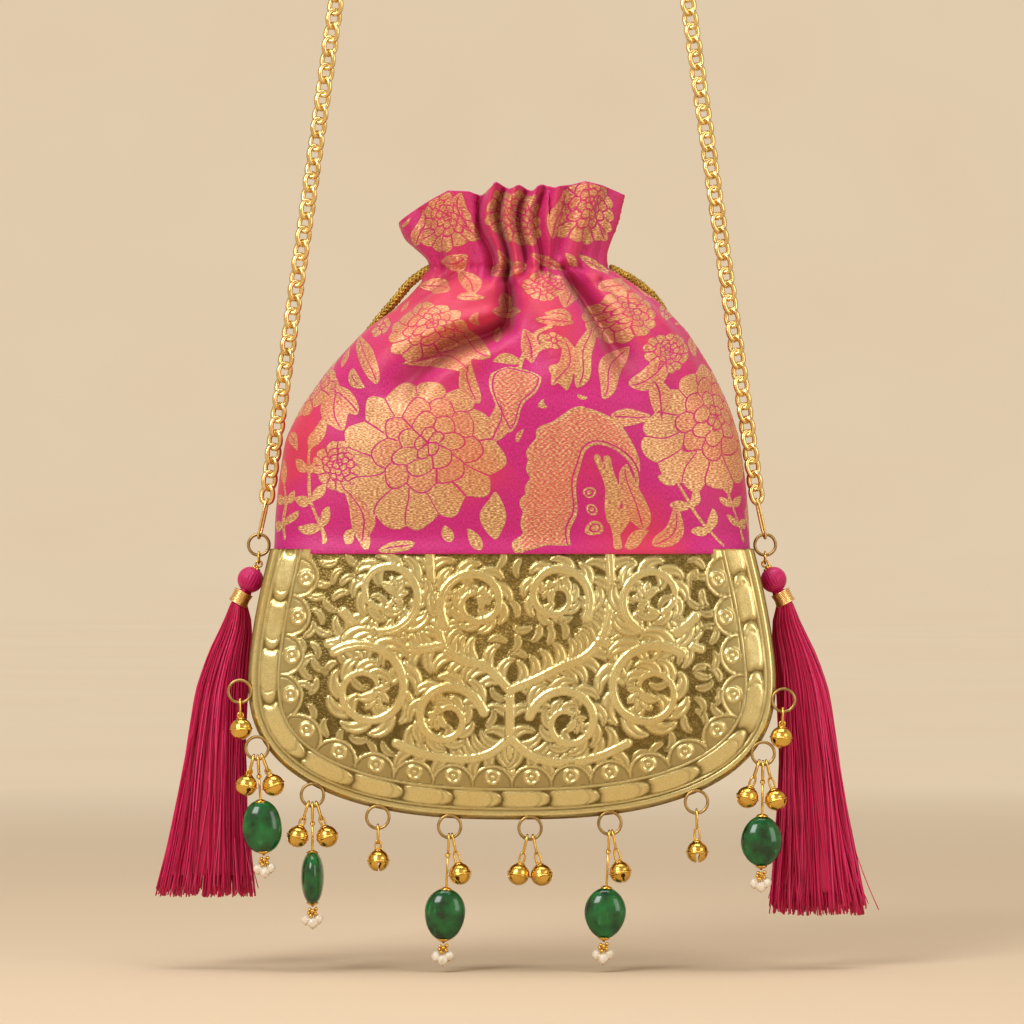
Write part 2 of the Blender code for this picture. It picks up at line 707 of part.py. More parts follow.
def connector_ends(side):
    """Centres of the connector link's lower and upper bends."""
    ring = side_ring_centre(side)
    low = Vector((ring.x, 0, ring.z + SIDE_RING_RADIUS - SIDE_RING_WIRE - CLEAR - CONNECTOR_WIRE))
    high_x = side * CHAIN_FOOT_OUT
    rise = math.sqrt(CONNECTOR_LENGTH ** 2 - (high_x - low.x) ** 2)
    return low, Vector((high_x, 0, low.z + rise))


def make_connector(name, side):
    """The long link between a side ring and the chain."""
    low, high = connector_ends(side)
    along = high - low
    across = Matrix.Rotation(side * CONNECTOR_TURN, 3, along.normalized()) @ Vector((0, 1, 0))
    bm = bmesh.new()
    wire_ring(bm, across, along, (0, 0, 0), CONNECTOR_HALF_WIDTH, along.length / 2,
              CONNECTOR_WIRE, RING_STEPS, LINK_FULLNESS)
    add_part(name, bm, "gilt chain", (low + high) / 2)


def chain_half_length():
    """Half the length of a chain link, at the middle of its wire."""
    return (CHAIN_PITCH + 2 * CHAIN_WIRE) / 2


def chain_half_route():
    """Fine points along the chain from the top of its arch to its right foot."""
    low, high = connector_ends(1)
    bite = CONNECTOR_WIRE + CLEAR + CHAIN_WIRE
    foot = Vector((high.x, 0, high.z - bite + chain_half_length()))
    shoulder = Vector((CHAIN_SHOULDER_OUT, 0, CHAIN_SHOULDER_Z))
    rise = CHAIN_TOP_Z - CHAIN_SHOULDER_Z
    route = []
    for i in range(ROUTE_STEPS):
        turn = math.pi / 2 * (1 - i / ROUTE_STEPS)
        route.append(Vector((shoulder.x * math.cos(turn), 0, shoulder.z + rise * math.sin(turn))))
    for i in range(ROUTE_STEPS + 1):
        route.append(shoulder.lerp(foot, i / ROUTE_STEPS))
    return route


def chain_link_places():
    """Centre of each link, evenly spaced and even about the top link."""
    route = chain_half_route()
    reach = [0.0]
    for before, after in zip(route, route[1:]):
        reach.append(reach[-1] + (after - before).length)
    half_count = round(reach[-1] / CHAIN_PITCH)
    half = []
    spot = 0
    for k in range(half_count + 1):
        want = reach[-1] * k / half_count
        while reach[spot + 1] < want and spot < len(route) - 2:
            spot += 1
        share = (want - reach[spot]) / (reach[spot + 1] - reach[spot])
        half.append(route[spot].lerp(route[spot + 1], share))
    return [Vector((-p.x, 0, p.z)) for p in reversed(half[1:])] + half


def make_chain():
    """The curb chain as three runs of linked rings."""
    places = chain_link_places()
    count = len(places)
    side_links = (count - CHAIN_TOP_LINKS) // 2
    runs = (("chain_left", 0, side_links),
            ("chain_top", side_links, count - side_links),
            ("chain_right", count - side_links, count))
    for name, start, end in runs:
        bm = bmesh.new()
        chain_run(bm, places, start, end)
        add_part(name, bm, "gilt chain")


def chain_run(bm, places, start, end):
    """Links from start to end, each joined to the next where they bear."""
    last = None
    half_length = chain_half_length()
    for i in range(start, end):
        before = places[max(i - 1, 0)]
        after = places[min(i + 1, len(places) - 1)]
        along = (after - before).normalized()
        turn = CHAIN_LINK_TURN if i % 2 else -CHAIN_LINK_TURN
        level = Vector((0, 1, 0)).cross(along)
        across = Matrix.Rotation(turn, 3, along) @ level
        rings = wire_ring(bm, across, along, places[i], CHAIN_LINK_HALF_WIDTH, half_length,
                          CHAIN_WIRE, CHAIN_LINK_STEPS)
        if last:
            bridge(bm, inner_face(bm, last[1], last[2]), inner_face(bm, rings[4], rings[5]))
        last = rings


def inner_face(bm, one, other):
    """Take out the inward face between two rings of a link and return its corners."""
    corners = (one[1], one[2], other[2], other[1])
    face = next(f for f in one[1].link_faces if all(v in f.verts for v in corners))
    bm.faces.remove(face)
    return list(corners)


def bridge(bm, lower, upper):
    """Close the small web between two facing openings."""
    def length(shift, flip):
        turned = list(reversed(upper)) if flip else upper
        return sum((a.co - turned[(k + shift) % 4].co).length for k, a in enumerate(lower))
    shift, flip = min(((s, f) for s in range(4) for f in (False, True)), key=lambda c: length(*c))
    turned = list(reversed(upper)) if flip else upper
    turned = [turned[(k + shift) % 4] for k in range(4)]
    for k in range(4):
        j = (k + 1) % 4
        bm.faces.new((lower[k], lower[j], turned[j], turned[k]))


def ring_hang_point(place):
    """Place on an edge ring, from its centre, where a charm's link bears."""
    lean = math.atan2(place[0], -place[1]) * CHARM_LEAN
    return Vector((EDGE_RING_RADIUS * math.sin(lean), 0, -EDGE_RING_RADIUS * math.cos(lean)))


def charm_link(bm, along):
    """The oval link of a charm; returns the distance of its foot from the hinge."""
    top = EDGE_RING_WIRE + CLEAR + CHARM_WIRE
    centre = along * (CHARM_LINK_LENGTH / 2 - top)
    wire_ring(bm, (0, 1, 0), along, centre, CHARM_LINK_HALF_WIDTH, CHARM_LINK_LENGTH / 2,
              CHARM_WIRE, CHAIN_LINK_STEPS, LINK_FULLNESS)
    return CHARM_LINK_LENGTH - top


def make_bell(name, ring_centre, place, bag):
    """A hollow slotted bell with its link, hinged where the link bears."""
    hang = ring_hang_point(place)
    reach = Vector((place[0], 0, place[1])) - hang
    along = reach.normalized()
    bm = bmesh.new()
    ball(bm, reach, (BELL_RADIUS,) * 3, BELL_SIDES, BELL_ROWS)
    bell = add_part(name, bm, "bell brass", ring_centre + hang, bag, 60)
    hollow = bmesh.new()
    inner = BELL_RADIUS - BELL_WALL
    ball(hollow, reach, (inner,) * 3, BELL_SIDES - 2, BELL_ROWS - 2)
    add_cutter(name + "_hollow", hollow, bell, "DIFFERENCE", ring_centre + hang)
    slot = bmesh.new()
    size = Matrix.Diagonal((BELL_SLOT_LENGTH, BELL_SLOT, BELL_RADIUS, 1))
    low = Matrix.Translation(reach - Vector((0, 0, BELL_RADIUS)))
    bmesh.ops.create_cube(slot, size=1, matrix=low @ size)
    add_cutter(name + "_slot", slot, bell, "DIFFERENCE", ring_centre + hang)
    link = bmesh.new()
    foot = charm_link(link, along)
    neck_foot = reach - along * (BELL_RADIUS - BELL_NECK_SUNK)
    rod(link, along * (foot - CHARM_WIRE), neck_foot, BELL_NECK_RADIUS, BELL_NECK_SIDES)
    add_cutter(name + "_link", link, bell, "UNION", ring_centre + hang)


def make_bead_drop(number, ring_centre, across, depth, quarter_turns, bag):
    """A flat bead on a pin with pearls below, hinged at its edge ring."""
    hang = ring_hang_point((across, depth))
    hinge = ring_centre + hang
    axis = joint_empty("bead_%02d_axis" % number, hinge, bag)
    reach = Vector((across, 0, depth)) - hang
    along = reach.normalized()
    tilt = along.to_track_quat("-Z", "Y").to_matrix().to_4x4()
    turn = Matrix.Rotation(math.radians(90 * (quarter_turns + 1)), 4, "Z")
    pin = bmesh.new()
    foot = charm_link(pin, along)
    pin_part = add_part("bead_pin_%02d" % number, pin, "bell brass", hinge, axis)
    shank = bmesh.new()
    pin_end = reach.length + BEAD_HALF_HEIGHT + BEAD_PIN_OVER
    rod(shank, along * (foot - CHARM_WIRE), along * pin_end, CHARM_WIRE, PIN_SIDES)
    add_cutter("bead_pin_%02d_shank" % number, shank, pin_part, "UNION", hinge)
    bead = bmesh.new()
    stand = Matrix.Translation(reach) @ tilt @ turn
    size = Matrix.Diagonal((BEAD_HALF_WIDTH, BEAD_HALF_THICKNESS, BEAD_HALF_HEIGHT, 1))
    bmesh.ops.create_uvsphere(bead, u_segments=BEAD_SIDES, v_segments=BEAD_ROWS, radius=1,
                              matrix=stand @ size)
    bead_part = add_part("bead_%02d" % number, bead, "green bead", hinge, axis, 60)
    bore = bmesh.new()
    bore_half = along * (BEAD_HALF_HEIGHT + BORE_OVER)
    rod(bore, reach - bore_half, reach + bore_half, CHARM_WIRE + CLEAR, BORE_SIDES)
    add_cutter("bead_%02d_bore" % number, bore, bead_part, "DIFFERENCE", hinge)
    drop = bmesh.new()
    seed_reach = pin_end + CLEAR + SEED_RADIUS
    ball(drop, along * seed_reach, (SEED_RADIUS,) * 3, SEED_SIDES, PEARL_ROWS)
    drop_part = add_part("pearl_drop_%02d" % number, drop, "pearl", hinge, axis, 60)
    pearls = bmesh.new()
    for spread, fall in PEARL_PLACES:
        spot = along * (seed_reach + fall) + Vector((spread, 0, 0))
        ball(pearls, spot, (PEARL_RADIUS,) * 3, PEARL_SIDES, PEARL_ROWS)
    add_cutter("pearl_drop_%02d_pearls" % number, pearls, drop_part, "UNION", hinge)


def make_charms(bag):
    """All the edge rings with their bells and bead drops."""
    bell_number = 0
    bead_number = 0
    ring_y = -(BAND_WIDTH / 2 + CLEAR + PLATE_WALL + RIM_RISE + CLEAR + EDGE_RING_WIRE)
    for number, (side, degrees, bells, bead) in enumerate(EDGE_RINGS, 1):
        edge = edge_point(degrees, side, EDGE_RING_PROUD)
        centre = Vector((edge.x, ring_y, edge.y))
        bm = bmesh.new()
        wire_ring(bm, (1, 0, 0), (0, 0, 1), (0, 0, 0), EDGE_RING_RADIUS, EDGE_RING_RADIUS,
                  EDGE_RING_WIRE, RING_STEPS)
        add_part("edge_ring_%02d" % number, bm, "antique brass", centre, bag)
        for place in bells:
            bell_number += 1
            make_bell("bell_%02d" % bell_number, centre, place, bag)
        if bead:
            bead_number += 1
            make_bead_drop(bead_number, centre, *bead, bag)


def make_tassel(word, side, length, bag):
    """Jump ring, thread head, wire wrap and skirt at one side."""
    ring = side_ring_centre(side)
    ring_foot = ring - Vector((0, 0, SIDE_RING_RADIUS))
    swing = joint_empty("tassel_%s_swing_axis" % word, ring_foot, bag)
    jump = ring_foot - Vector((0, 0, JUMP_RING_RADIUS - SIDE_RING_WIRE - CLEAR - JUMP_RING_WIRE))
    bm = bmesh.new()
    wire_ring(bm, (0, 1, 0), (0, 0, 1), jump - ring_foot, JUMP_RING_RADIUS, JUMP_RING_RADIUS,
              JUMP_RING_WIRE, RING_STEPS)
    add_part("tassel_jump_ring_" + word, bm, "bell brass", ring_foot, swing)
    hinge = jump - Vector((0, 0, JUMP_RING_RADIUS))
    sway = joint_empty("tassel_%s_sway_axis" % word, hinge, swing)
    eye_lift = JUMP_RING_WIRE + CLEAR + TASSEL_EYE_WIRE
    eye = Vector((0, 0, eye_lift - TASSEL_EYE_RADIUS))
    lean = Vector((side * math.sin(TASSEL_LEAN), 0, -math.cos(TASSEL_LEAN)))
    head = eye + lean * TASSEL_HEAD_DROP
    bm = bmesh.new()
    ball(bm, head, (TASSEL_HEAD_RADIUS,) * 3, TASSEL_HEAD_SIDES, TASSEL_HEAD_ROWS)
    head_part = add_part("tassel_head_" + word, bm, "tassel thread", hinge, sway, 60)
    eyelet = bmesh.new()
    wire_ring(eyelet, (1, 0, 0), (0, 0, 1), eye, TASSEL_EYE_RADIUS, TASSEL_EYE_RADIUS,
              TASSEL_EYE_WIRE, TASSEL_EYE_STEPS)
    shank_foot = head - lean * (TASSEL_HEAD_RADIUS - TASSEL_SHANK_SUNK)
    rod(eyelet, eye + lean * TASSEL_EYE_RADIUS, shank_foot, TASSEL_SHANK_RADIUS, TASSEL_SHANK_SIDES)
    add_cutter("tassel_eye_" + word, eyelet, head_part, "UNION", hinge)
    wrap_top = head + lean * (TASSEL_HEAD_RADIUS + CLEAR)
    wrap_foot = wrap_top + lean * WRAP_HEIGHT
    bm = bmesh.new()
    tube(bm, wrap_top, wrap_foot, TASSEL_NECK_RADIUS + CLEAR * 2, WRAP_RADIUS, WRAP_SIDES)
    add_part("tassel_wrap_" + word, bm, "bell brass", hinge, sway)
    bm = bmesh.new()
    make_skirt(bm, side, length, hinge, wrap_top, wrap_foot, lean)
    add_part("tassel_skirt_" + word, bm, "tassel thread", hinge, sway, 30)


def tube(bm, start, end, bore, outer, sides):
    """A short open tube with square ends."""
    along = (end - start).normalized()
    across = Vector((0, 1, 0))
    other = along.cross(across)
    rows = []
    for place, radius in ((start, outer), (end, outer), (end, bore), (start, bore)):
        row = []
        for k in range(sides):
            turn = 2 * math.pi * k / sides
            spoke = across * math.cos(turn) + other * math.sin(turn)
            row.append(bm.verts.new(place + spoke * radius))
        rows.append(row)
    skin_rows(bm, rows + rows[:1])


def make_skirt(bm, side, length, hinge, wrap_top, wrap_foot, lean):
    """The thread skirt: a ridged loft that hangs along the base's side."""
    rows = []
    flat = Vector((0, 0, 1)).cross(Vector((0, 1, 0)))
    neck_flat = lean.cross(Vector((0, 1, 0)))
    sections = [(wrap_top, neck_flat, TASSEL_NECK_RADIUS, TASSEL_NECK_RADIUS, 0),
                (wrap_foot, neck_flat, TASSEL_NECK_RADIUS, TASSEL_NECK_RADIUS, 0)]
    levels = SKIRT_ROWS + ((length, SKIRT_ROWS[-1][1], SKIRT_END_WIDTH, SKIRT_ROWS[-1][3]),)
    for depth, inner_gap, width, thickness in levels:
        wall = BASE_HALF_WIDTH if depth > -BASE_WIDEST_Z else base_half_width(-depth)
        centre = Vector((side * (wall + inner_gap + width / 2), SKIRT_BACK, -depth)) - hinge
        sections.append((centre, flat, width / 2, thickness / 2, SKIRT_RIDGE))
    for centre, level, half_width, half_depth, ridge in sections:
        row = []
        for k in range(SKIRT_COLUMNS):
            turn = 2 * math.pi * k / SKIRT_COLUMNS
            swell = 1 - ridge * (k % 2)
            out = Vector((0, math.sin(turn) * half_depth, 0)) - level * math.cos(turn) * half_width
            row.append(bm.verts.new(centre + out * swell))
        rows.append(row)
    skin_rows(bm, rows, cap_start=True, cap_end=True)


def make_potli_bag():
    """Build every part of the bag."""
    bag_axis_z = SIDE_RING_Z + SIDE_RING_RADIUS
    bag = joint_empty("bag_axis", (0, 0, bag_axis_z))
    make_band(bag)
    make_plate("front_plate", -1, bag)
    make_plate("back_plate", 1, bag)
    make_lining(bag)
    make_pouch(bag)
    make_drawstring(bag)
    for word, side, length in (("left", -1, SKIRT_LENGTHS[0]), ("right", 1, SKIRT_LENGTHS[1])):
        make_side_ring("side_ring_" + word, side, bag)
        make_connector("connector_link_" + word, side)
        make_tassel(word, side, length, bag)
    make_charms(bag)
    make_chain()


make_potli_bag()
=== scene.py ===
"""Looks of a potli bag: brocade pouch in an embossed metal base, on a chain, with charms.

Lengths are millimetres in the bag's own frame, with heights from the mouth of the
metal base, until to_row turns them into metres in the row's frame.
"""
import math

import bmesh
import bpy
import numpy as np
from mathutils import Matrix, Vector


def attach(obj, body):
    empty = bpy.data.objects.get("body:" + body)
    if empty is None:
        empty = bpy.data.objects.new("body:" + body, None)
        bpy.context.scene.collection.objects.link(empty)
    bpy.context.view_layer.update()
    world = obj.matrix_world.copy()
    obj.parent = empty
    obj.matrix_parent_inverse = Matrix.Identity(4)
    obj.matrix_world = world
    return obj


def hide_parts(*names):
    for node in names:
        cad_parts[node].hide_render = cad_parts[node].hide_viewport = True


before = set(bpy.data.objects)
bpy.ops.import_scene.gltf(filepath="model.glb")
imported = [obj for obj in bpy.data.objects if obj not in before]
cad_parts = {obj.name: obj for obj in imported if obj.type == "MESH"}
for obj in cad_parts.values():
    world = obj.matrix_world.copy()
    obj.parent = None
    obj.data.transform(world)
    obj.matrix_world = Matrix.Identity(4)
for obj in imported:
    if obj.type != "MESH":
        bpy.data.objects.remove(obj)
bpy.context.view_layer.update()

MM = 0.001
BAG_ZERO = np.array((0.0, 0.0, -295.0))
CLEAR = 0.3
RANDOM = np.random.default_rng(7)

# Camera

# Width of the photograph at the depth of the plates' rim
PHOTO_WIDTH = 390.6
PHOTO_CENTRE_Z = 14.1
RIM_Y = -14.3
CAMERA_DISTANCE = 2200.0


def to_row(points):
    """Millimetres in the bag's frame to metres in the row's frame."""
    return (np.asarray(points, float) + BAG_ZERO) * MM


def add_object(name, data):
    """A new object in the scene."""
    made = bpy.data.objects.new(name, data)
    bpy.context.scene.collection.objects.link(made)
    return made


def make_camera():
    """A long lens level with the middle of the photograph."""
    data = bpy.data.cameras.new("photo_camera")
    data.sensor_width = 36.0
    data.lens = data.sensor_width * (CAMERA_DISTANCE + RIM_Y) / PHOTO_WIDTH
    data.clip_end = 50.0
    camera = add_object("photo_camera", data)
    camera.location = to_row((0.0, -CAMERA_DISTANCE, PHOTO_CENTRE_Z))
    camera.rotation_euler = (math.radians(90), 0, 0)
    bpy.context.scene.camera = camera


make_camera()

# Mesh building


def grid_faces(rows, columns, closed=True):
    """Quads between the rows of a grid of points."""
    r = np.arange(rows - 1)[:, None]
    c = np.arange(columns if closed else columns - 1)[None, :]
    n = (c + 1) % columns
    a = r * columns + c
    b = r * columns + n
    return np.stack([a, b, b + columns, a + columns], -1).reshape(-1, 4).tolist()


def tube_faces(rows, columns):
    """Faces of a closed grid with a flat end at each side."""
    first = list(range(columns))
    return grid_faces(rows, columns) + [first[::-1], [(rows - 1) * columns + k for k in first]]


def unit(vectors):
    """Vectors scaled to length one."""
    return vectors / np.maximum(np.linalg.norm(vectors, axis=-1, keepdims=True), 1e-12)


def fuller(wave, power):
    """A sine or cosine raised to a power, with its sign kept."""
    return np.copysign(np.abs(wave) ** power, wave)


def way_along(points):
    """How far along a route each of its points lies."""
    return np.concatenate([[0.0], np.cumsum(np.linalg.norm(np.diff(points, axis=0), axis=1))])


def read_off(want, way, table):
    """Rows of a table at other places along its way."""
    return np.stack([np.interp(want, way, column) for column in table.T], -1)


def soften(padded, reach, spread):
    """Rows of a padded table, averaged with their neighbours by a bell curve."""
    kernel = np.exp(-0.5 * (np.arange(-reach, reach + 1) / spread) ** 2)
    kernel /= kernel.sum()
    return np.stack([np.convolve(column, kernel, "valid") for column in padded.T], -1)


def path_frames(path, closed=False, across=None):
    """Tangent and two side directions at each point, without twist."""
    path = np.asarray(path, float)
    if closed:
        run = np.roll(path, -1, 0) - np.roll(path, 1, 0)
    else:
        run = np.gradient(path, axis=0)
    run = unit(run)
    start = np.array(across if across is not None else (0.0, 1.0, 0.0))
    if abs(np.dot(start, run[0])) > 0.95:
        start = np.array((1.0, 0.0, 0.0))
    sides = []
    side = start
    for step in run:
        side = side - step * np.dot(side, step)
        side = side / np.linalg.norm(side)
        sides.append(side)
    sides = np.array(sides)
    return run, sides, np.cross(run, sides)


def sweep(path, radius, sides=8, closed=False, across=None):
    """A round tube along a path; the radius may vary along it."""
    path = np.asarray(path, float)
    _, one, two = path_frames(path, closed, across)
    radius = np.broadcast_to(np.asarray(radius, float), (len(path),))[:, None, None]
    turn = 2 * np.pi * np.arange(sides) / sides
    ring = one[:, None] * np.cos(turn)[None, :, None] + two[:, None] * np.sin(turn)[None, :, None]
    verts = (path[:, None] + ring * radius).reshape(-1, 3)
    if not closed:
        return verts, tube_faces(len(path), sides)
    faces = grid_faces(len(path), sides)
    last = (len(path) - 1) * sides
    for k in range(sides):
        j = (k + 1) % sides
        faces.append([last + k, last + j, j, k])
    return verts, faces


def oval(centre, across, along, half_width, half_length, wire, steps=28, sides=8,
         fullness=1.0, curl=0.0):
    """A wire ring or a long link."""
    across = unit(np.asarray(across, float))
    along = unit(np.asarray(along, float))
    side = np.cross(across, along)
    turn = 2 * np.pi * np.arange(steps) / steps
    reach = half_width * fuller(np.cos(turn), fullness)
    path = (np.asarray(centre, float) + reach[:, None] * across
            + (half_length * np.sin(turn))[:, None] * along
            + (curl * np.sin(2 * turn))[:, None] * side)
    return sweep(path, wire, sides, closed=True, across=side)


def round_ring(centre, radius, wire, steps, sides):
    """A round wire ring that faces the front."""
    return oval(centre, (1, 0, 0), (0, 0, 1), radius, radius, wire, steps, sides)


def ball(centre, radii, columns, rows):
    """A ball or an egg."""
    turn = 2 * np.pi * np.arange(columns) / columns
    drop = np.pi * np.arange(1, rows) / rows
    ring = np.stack([np.sin(drop)[:, None] * np.cos(turn), np.sin(drop)[:, None] * np.sin(turn),
                     np.repeat(np.cos(drop)[:, None], columns, 1)], -1).reshape(-1, 3)
    verts = np.concatenate([ring, [(0, 0, 1), (0, 0, -1)]]) * np.asarray(radii, float)
    faces = [f[::-1] for f in grid_faces(rows - 1, columns)]
    top, low = len(ring), len(ring) + 1
    last = (rows - 2) * columns
    for k in range(columns):
        j = (k + 1) % columns
        faces.append([top, k, j])
        faces.append([low, last + j, last + k])
    return verts + np.asarray(centre, float), faces


def lathe(profile, columns, capped=False):
    """A turned shape about Z from (radius, height) pairs."""
    profile = np.asarray(profile, float)
    turn = 2 * np.pi * np.arange(columns) / columns
    verts = np.stack([profile[:, :1] * np.cos(turn), profile[:, :1] * np.sin(turn),
                      np.repeat(profile[:, 1:], columns, 1)], -1).reshape(-1, 3)
    return verts, (tube_faces if capped else grid_faces)(len(profile), columns)


def turned(part, matrix, centre=(0, 0, 0)):
    """A part turned by a 3 x 3 matrix and moved."""
    verts, faces = part
    return verts @ np.asarray(matrix, float).T + np.asarray(centre, float), faces


def axis_turn(along):
    """3 x 3 matrix that takes +Z to a direction."""
    return np.array(Vector(along).to_track_quat("Z", "Y").to_matrix())


class Shape:
    """Parts gathered into one mesh, each with the number of its material."""

    def __init__(self):
        self.verts, self.faces, self.finish = [], [], []
        self.count = 0

    def add(self, part, finish=0):
        verts, faces = part
        self.verts.append(np.asarray(verts, float))
        self.faces.extend([[i + self.count for i in face] for face in faces])
        self.finish.extend([finish] * len(faces))
        self.count += len(verts)
        return self

    def piece(self, name, materials, body, slot, replaces=(), fields=None, vectors=None):
        """The finished object, riding on its body."""
        mesh = bpy.data.meshes.new(name)
        mesh.from_pydata(to_row(np.concatenate(self.verts)), [], self.faces)
        mesh.polygons.foreach_set("material_index", self.finish)
        for material in materials:
            mesh.materials.append(material)
        for field, values in (fields or {}).items():
            layer = mesh.attributes.new(field, "FLOAT", "POINT")
            layer.data.foreach_set("value", np.asarray(values, np.float32).ravel())
        for field, values in (vectors or {}).items():
            layer = mesh.attributes.new(field, "FLOAT_VECTOR", "POINT")
            layer.data.foreach_set("vector", np.asarray(values, np.float32).ravel())
        mesh.shade_smooth()
        made = add_object(name, mesh)
        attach(made, body)
        if replaces:
            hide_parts(*replaces)
        return made


# Materials


def rgb(red, green, blue):
    """A colour written as 0 to 255, for a linear socket."""
    def linear(value):
        value /= 255
        return value / 12.92 if value <= 0.04045 else ((value + 0.055) / 1.055) ** 2.4
    return linear(red), linear(green), linear(blue), 1.0


class Look:
    """A procedural material, with short calls for its nodes."""

    def __init__(self, name, **settings):
        self.material = bpy.data.materials.new(name)
        self.material.use_nodes = True
        self.tree = self.material.node_tree
        self.shader = self.tree.nodes["Principled BSDF"]
        for socket, value in settings.items():
            self.shader.inputs[socket.replace("_", " ")].default_value = value
        self.spot = self.node("TexCoord").outputs["Object"]

    def feed(self, socket, value):
        if isinstance(value, bpy.types.NodeSocket):
            self.tree.links.new(value, socket)
        else:
            socket.default_value = value

    def node(self, kind, inputs=None, **settings):
        made = self.tree.nodes.new("ShaderNode" + kind)
        for key, value in settings.items():
            setattr(made, key, value)
        for socket, value in (inputs or {}).items():
            self.feed(made.inputs[socket], value)
        return made

    def math(self, operation, a, b=0.0, c=0.0, clamp=False):
        return self.node("Math", {0: a, 1: b, 2: c}, operation=operation, use_clamp=clamp).outputs[0]

    def field(self, name):
        return self.node("Attribute", attribute_name=name).outputs["Fac"]

    def vector(self, name):
        return self.node("Attribute", attribute_name=name).outputs["Vector"]

    def mix(self, share, a, b):
        made = self.node("Mix", data_type="RGBA")
        self.feed(made.inputs[0], share)
        self.feed(made.inputs[6], a)
        self.feed(made.inputs[7], b)
        return made.outputs[2]

    def span(self, value, low, high, start=0.0, end=1.0):
        return self.node("MapRange", {0: value, 1: low, 2: high, 3: start, 4: end}).outputs[0]

    def noise(self, scale, vector=None, detail=2.0, stretch=None):
        source = self.spot if vector is None else vector
        if stretch:
            source = self.node("Mapping", {"Vector": source, "Scale": stretch}).outputs[0]
        made = self.node("TexNoise", {"Vector": source, "Scale": scale, "Detail": detail})
        return made.outputs["Fac"]

    def bump(self, height, strength, distance, normal=None):
        made = self.node("Bump", {"Height": height, "Strength": strength, "Distance": distance})
        if normal is not None:
            self.feed(made.inputs["Normal"], normal)
        return made.outputs["Normal"]

    def set(self, **inputs):
        for socket, value in inputs.items():
            self.feed(self.shader.inputs[socket.replace("_", " ")], value)
        return self.material


def metal(name, colour, dark, roughness, spots=0.35):
    """Worn metal: stained in patches, with fine scratches."""
    look = Look(name, Metallic=1.0)
    stain = look.noise(108.0, detail=4.0)
    grain = look.noise(900.0, detail=3.0)
    share = look.math("MULTIPLY", look.span(stain, 0.45, 0.75), spots)
    return look.set(
        Base_Color=look.mix(share, rgb(*colour), rgb(*dark)),
        Roughness=look.span(grain, 0.3, 0.7, roughness * 0.8, roughness * 1.25),
        Normal=look.bump(grain, 0.25, 0.00004))


GILT = metal("gilt_chain", (236, 208, 142), (150, 118, 60), 0.22)
ANTIQUE = metal("antique_brass", (176, 146, 92), (96, 74, 40), 0.32, spots=0.6)
BELL_BRASS = metal("bell_brass", (228, 186, 92), (140, 98, 34), 0.2)
WRAP_WIRE = metal("wrap_wire", (240, 204, 140), (170, 128, 70), 0.3)


def make_green_bead():
    """Polished green stone with cloudy veins and a clear skin."""
    look = Look("green_bead", Roughness=0.16, Coat_Weight=0.35, Coat_Roughness=0.03,
                Specular_IOR_Level=0.4)
    cloud = look.noise(160.0, detail=5.0)
    vein = look.noise(420.0, detail=6.0, stretch=(1.0, 1.0, 0.4))
    deep = look.mix(look.span(cloud, 0.35, 0.7), rgb(2, 52, 22), rgb(10, 116, 50))
    return look.set(Base_Color=look.mix(look.span(vein, 0.6, 0.8), deep, rgb(60, 150, 86)))


def make_pearl():
    """Small uneven pearls."""
    look = Look("pearl", Roughness=0.22, Coat_Weight=0.6, Coat_Roughness=0.1)
    cloud = look.noise(500.0, detail=3.0)
    base = look.mix(look.span(cloud, 0.35, 0.7), rgb(246, 240, 226), rgb(222, 205, 180))
    return look.set(Base_Color=base, Normal=look.bump(cloud, 0.3, 0.0002))


def make_thread(name, colour, shade, light):
    """Silky thread that varies from strand to strand, with painted shade and highlight where its tone
    field follows the tassel head's thread ridges, and painted shade on the skirt's core.
    """
    look = Look(name, Roughness=0.42, Sheen_Weight=0.35, Sheen_Roughness=0.35, Specular_IOR_Level=0.4)
    tone_and_shade = look.field("tone_and_shade")
    fibre = look.noise(2600.0, detail=2.0, stretch=(1.0, 1.0, 0.06))
    base = look.mix(look.span(tone_and_shade, 0.0, 0.55), rgb(*shade), rgb(*colour))
    base = look.mix(look.math("MULTIPLY", look.span(tone_and_shade, 0.6, 1.0), 0.6), base, rgb(*light))
    return look.set(Base_Color=look.mix(look.span(fibre, 0.45, 0.75, 0.0, 0.35), base, rgb(*shade)),
                    Normal=look.bump(fibre, 0.3, 0.0001))


def make_cord_thread():
    """Braided metallic thread of the drawstring."""
    look = Look("gold_cord", Roughness=0.38, Metallic=0.55)
    fibre = look.noise(3000.0, detail=2.0)
    patch = look.noise(300.0, detail=2.0)
    base = look.mix(look.span(fibre, 0.35, 0.7), rgb(150, 110, 28), rgb(232, 196, 88))
    return look.set(Base_Color=look.mix(look.span(patch, 0.45, 0.7, 0.0, 0.4), base, rgb(120, 96, 30)),
                    Normal=look.bump(fibre, 0.6, 0.0002))


GREEN_BEAD = make_green_bead()
PEARL = make_pearl()
THREAD = make_thread("tassel_thread", (222, 12, 90), (176, 4, 66), (246, 84, 142))
HEAD_THREAD = make_thread("head_thread", (214, 18, 108), (140, 4, 60), (244, 90, 160))
CORD_THREAD = make_cord_thread()

# The drawstring

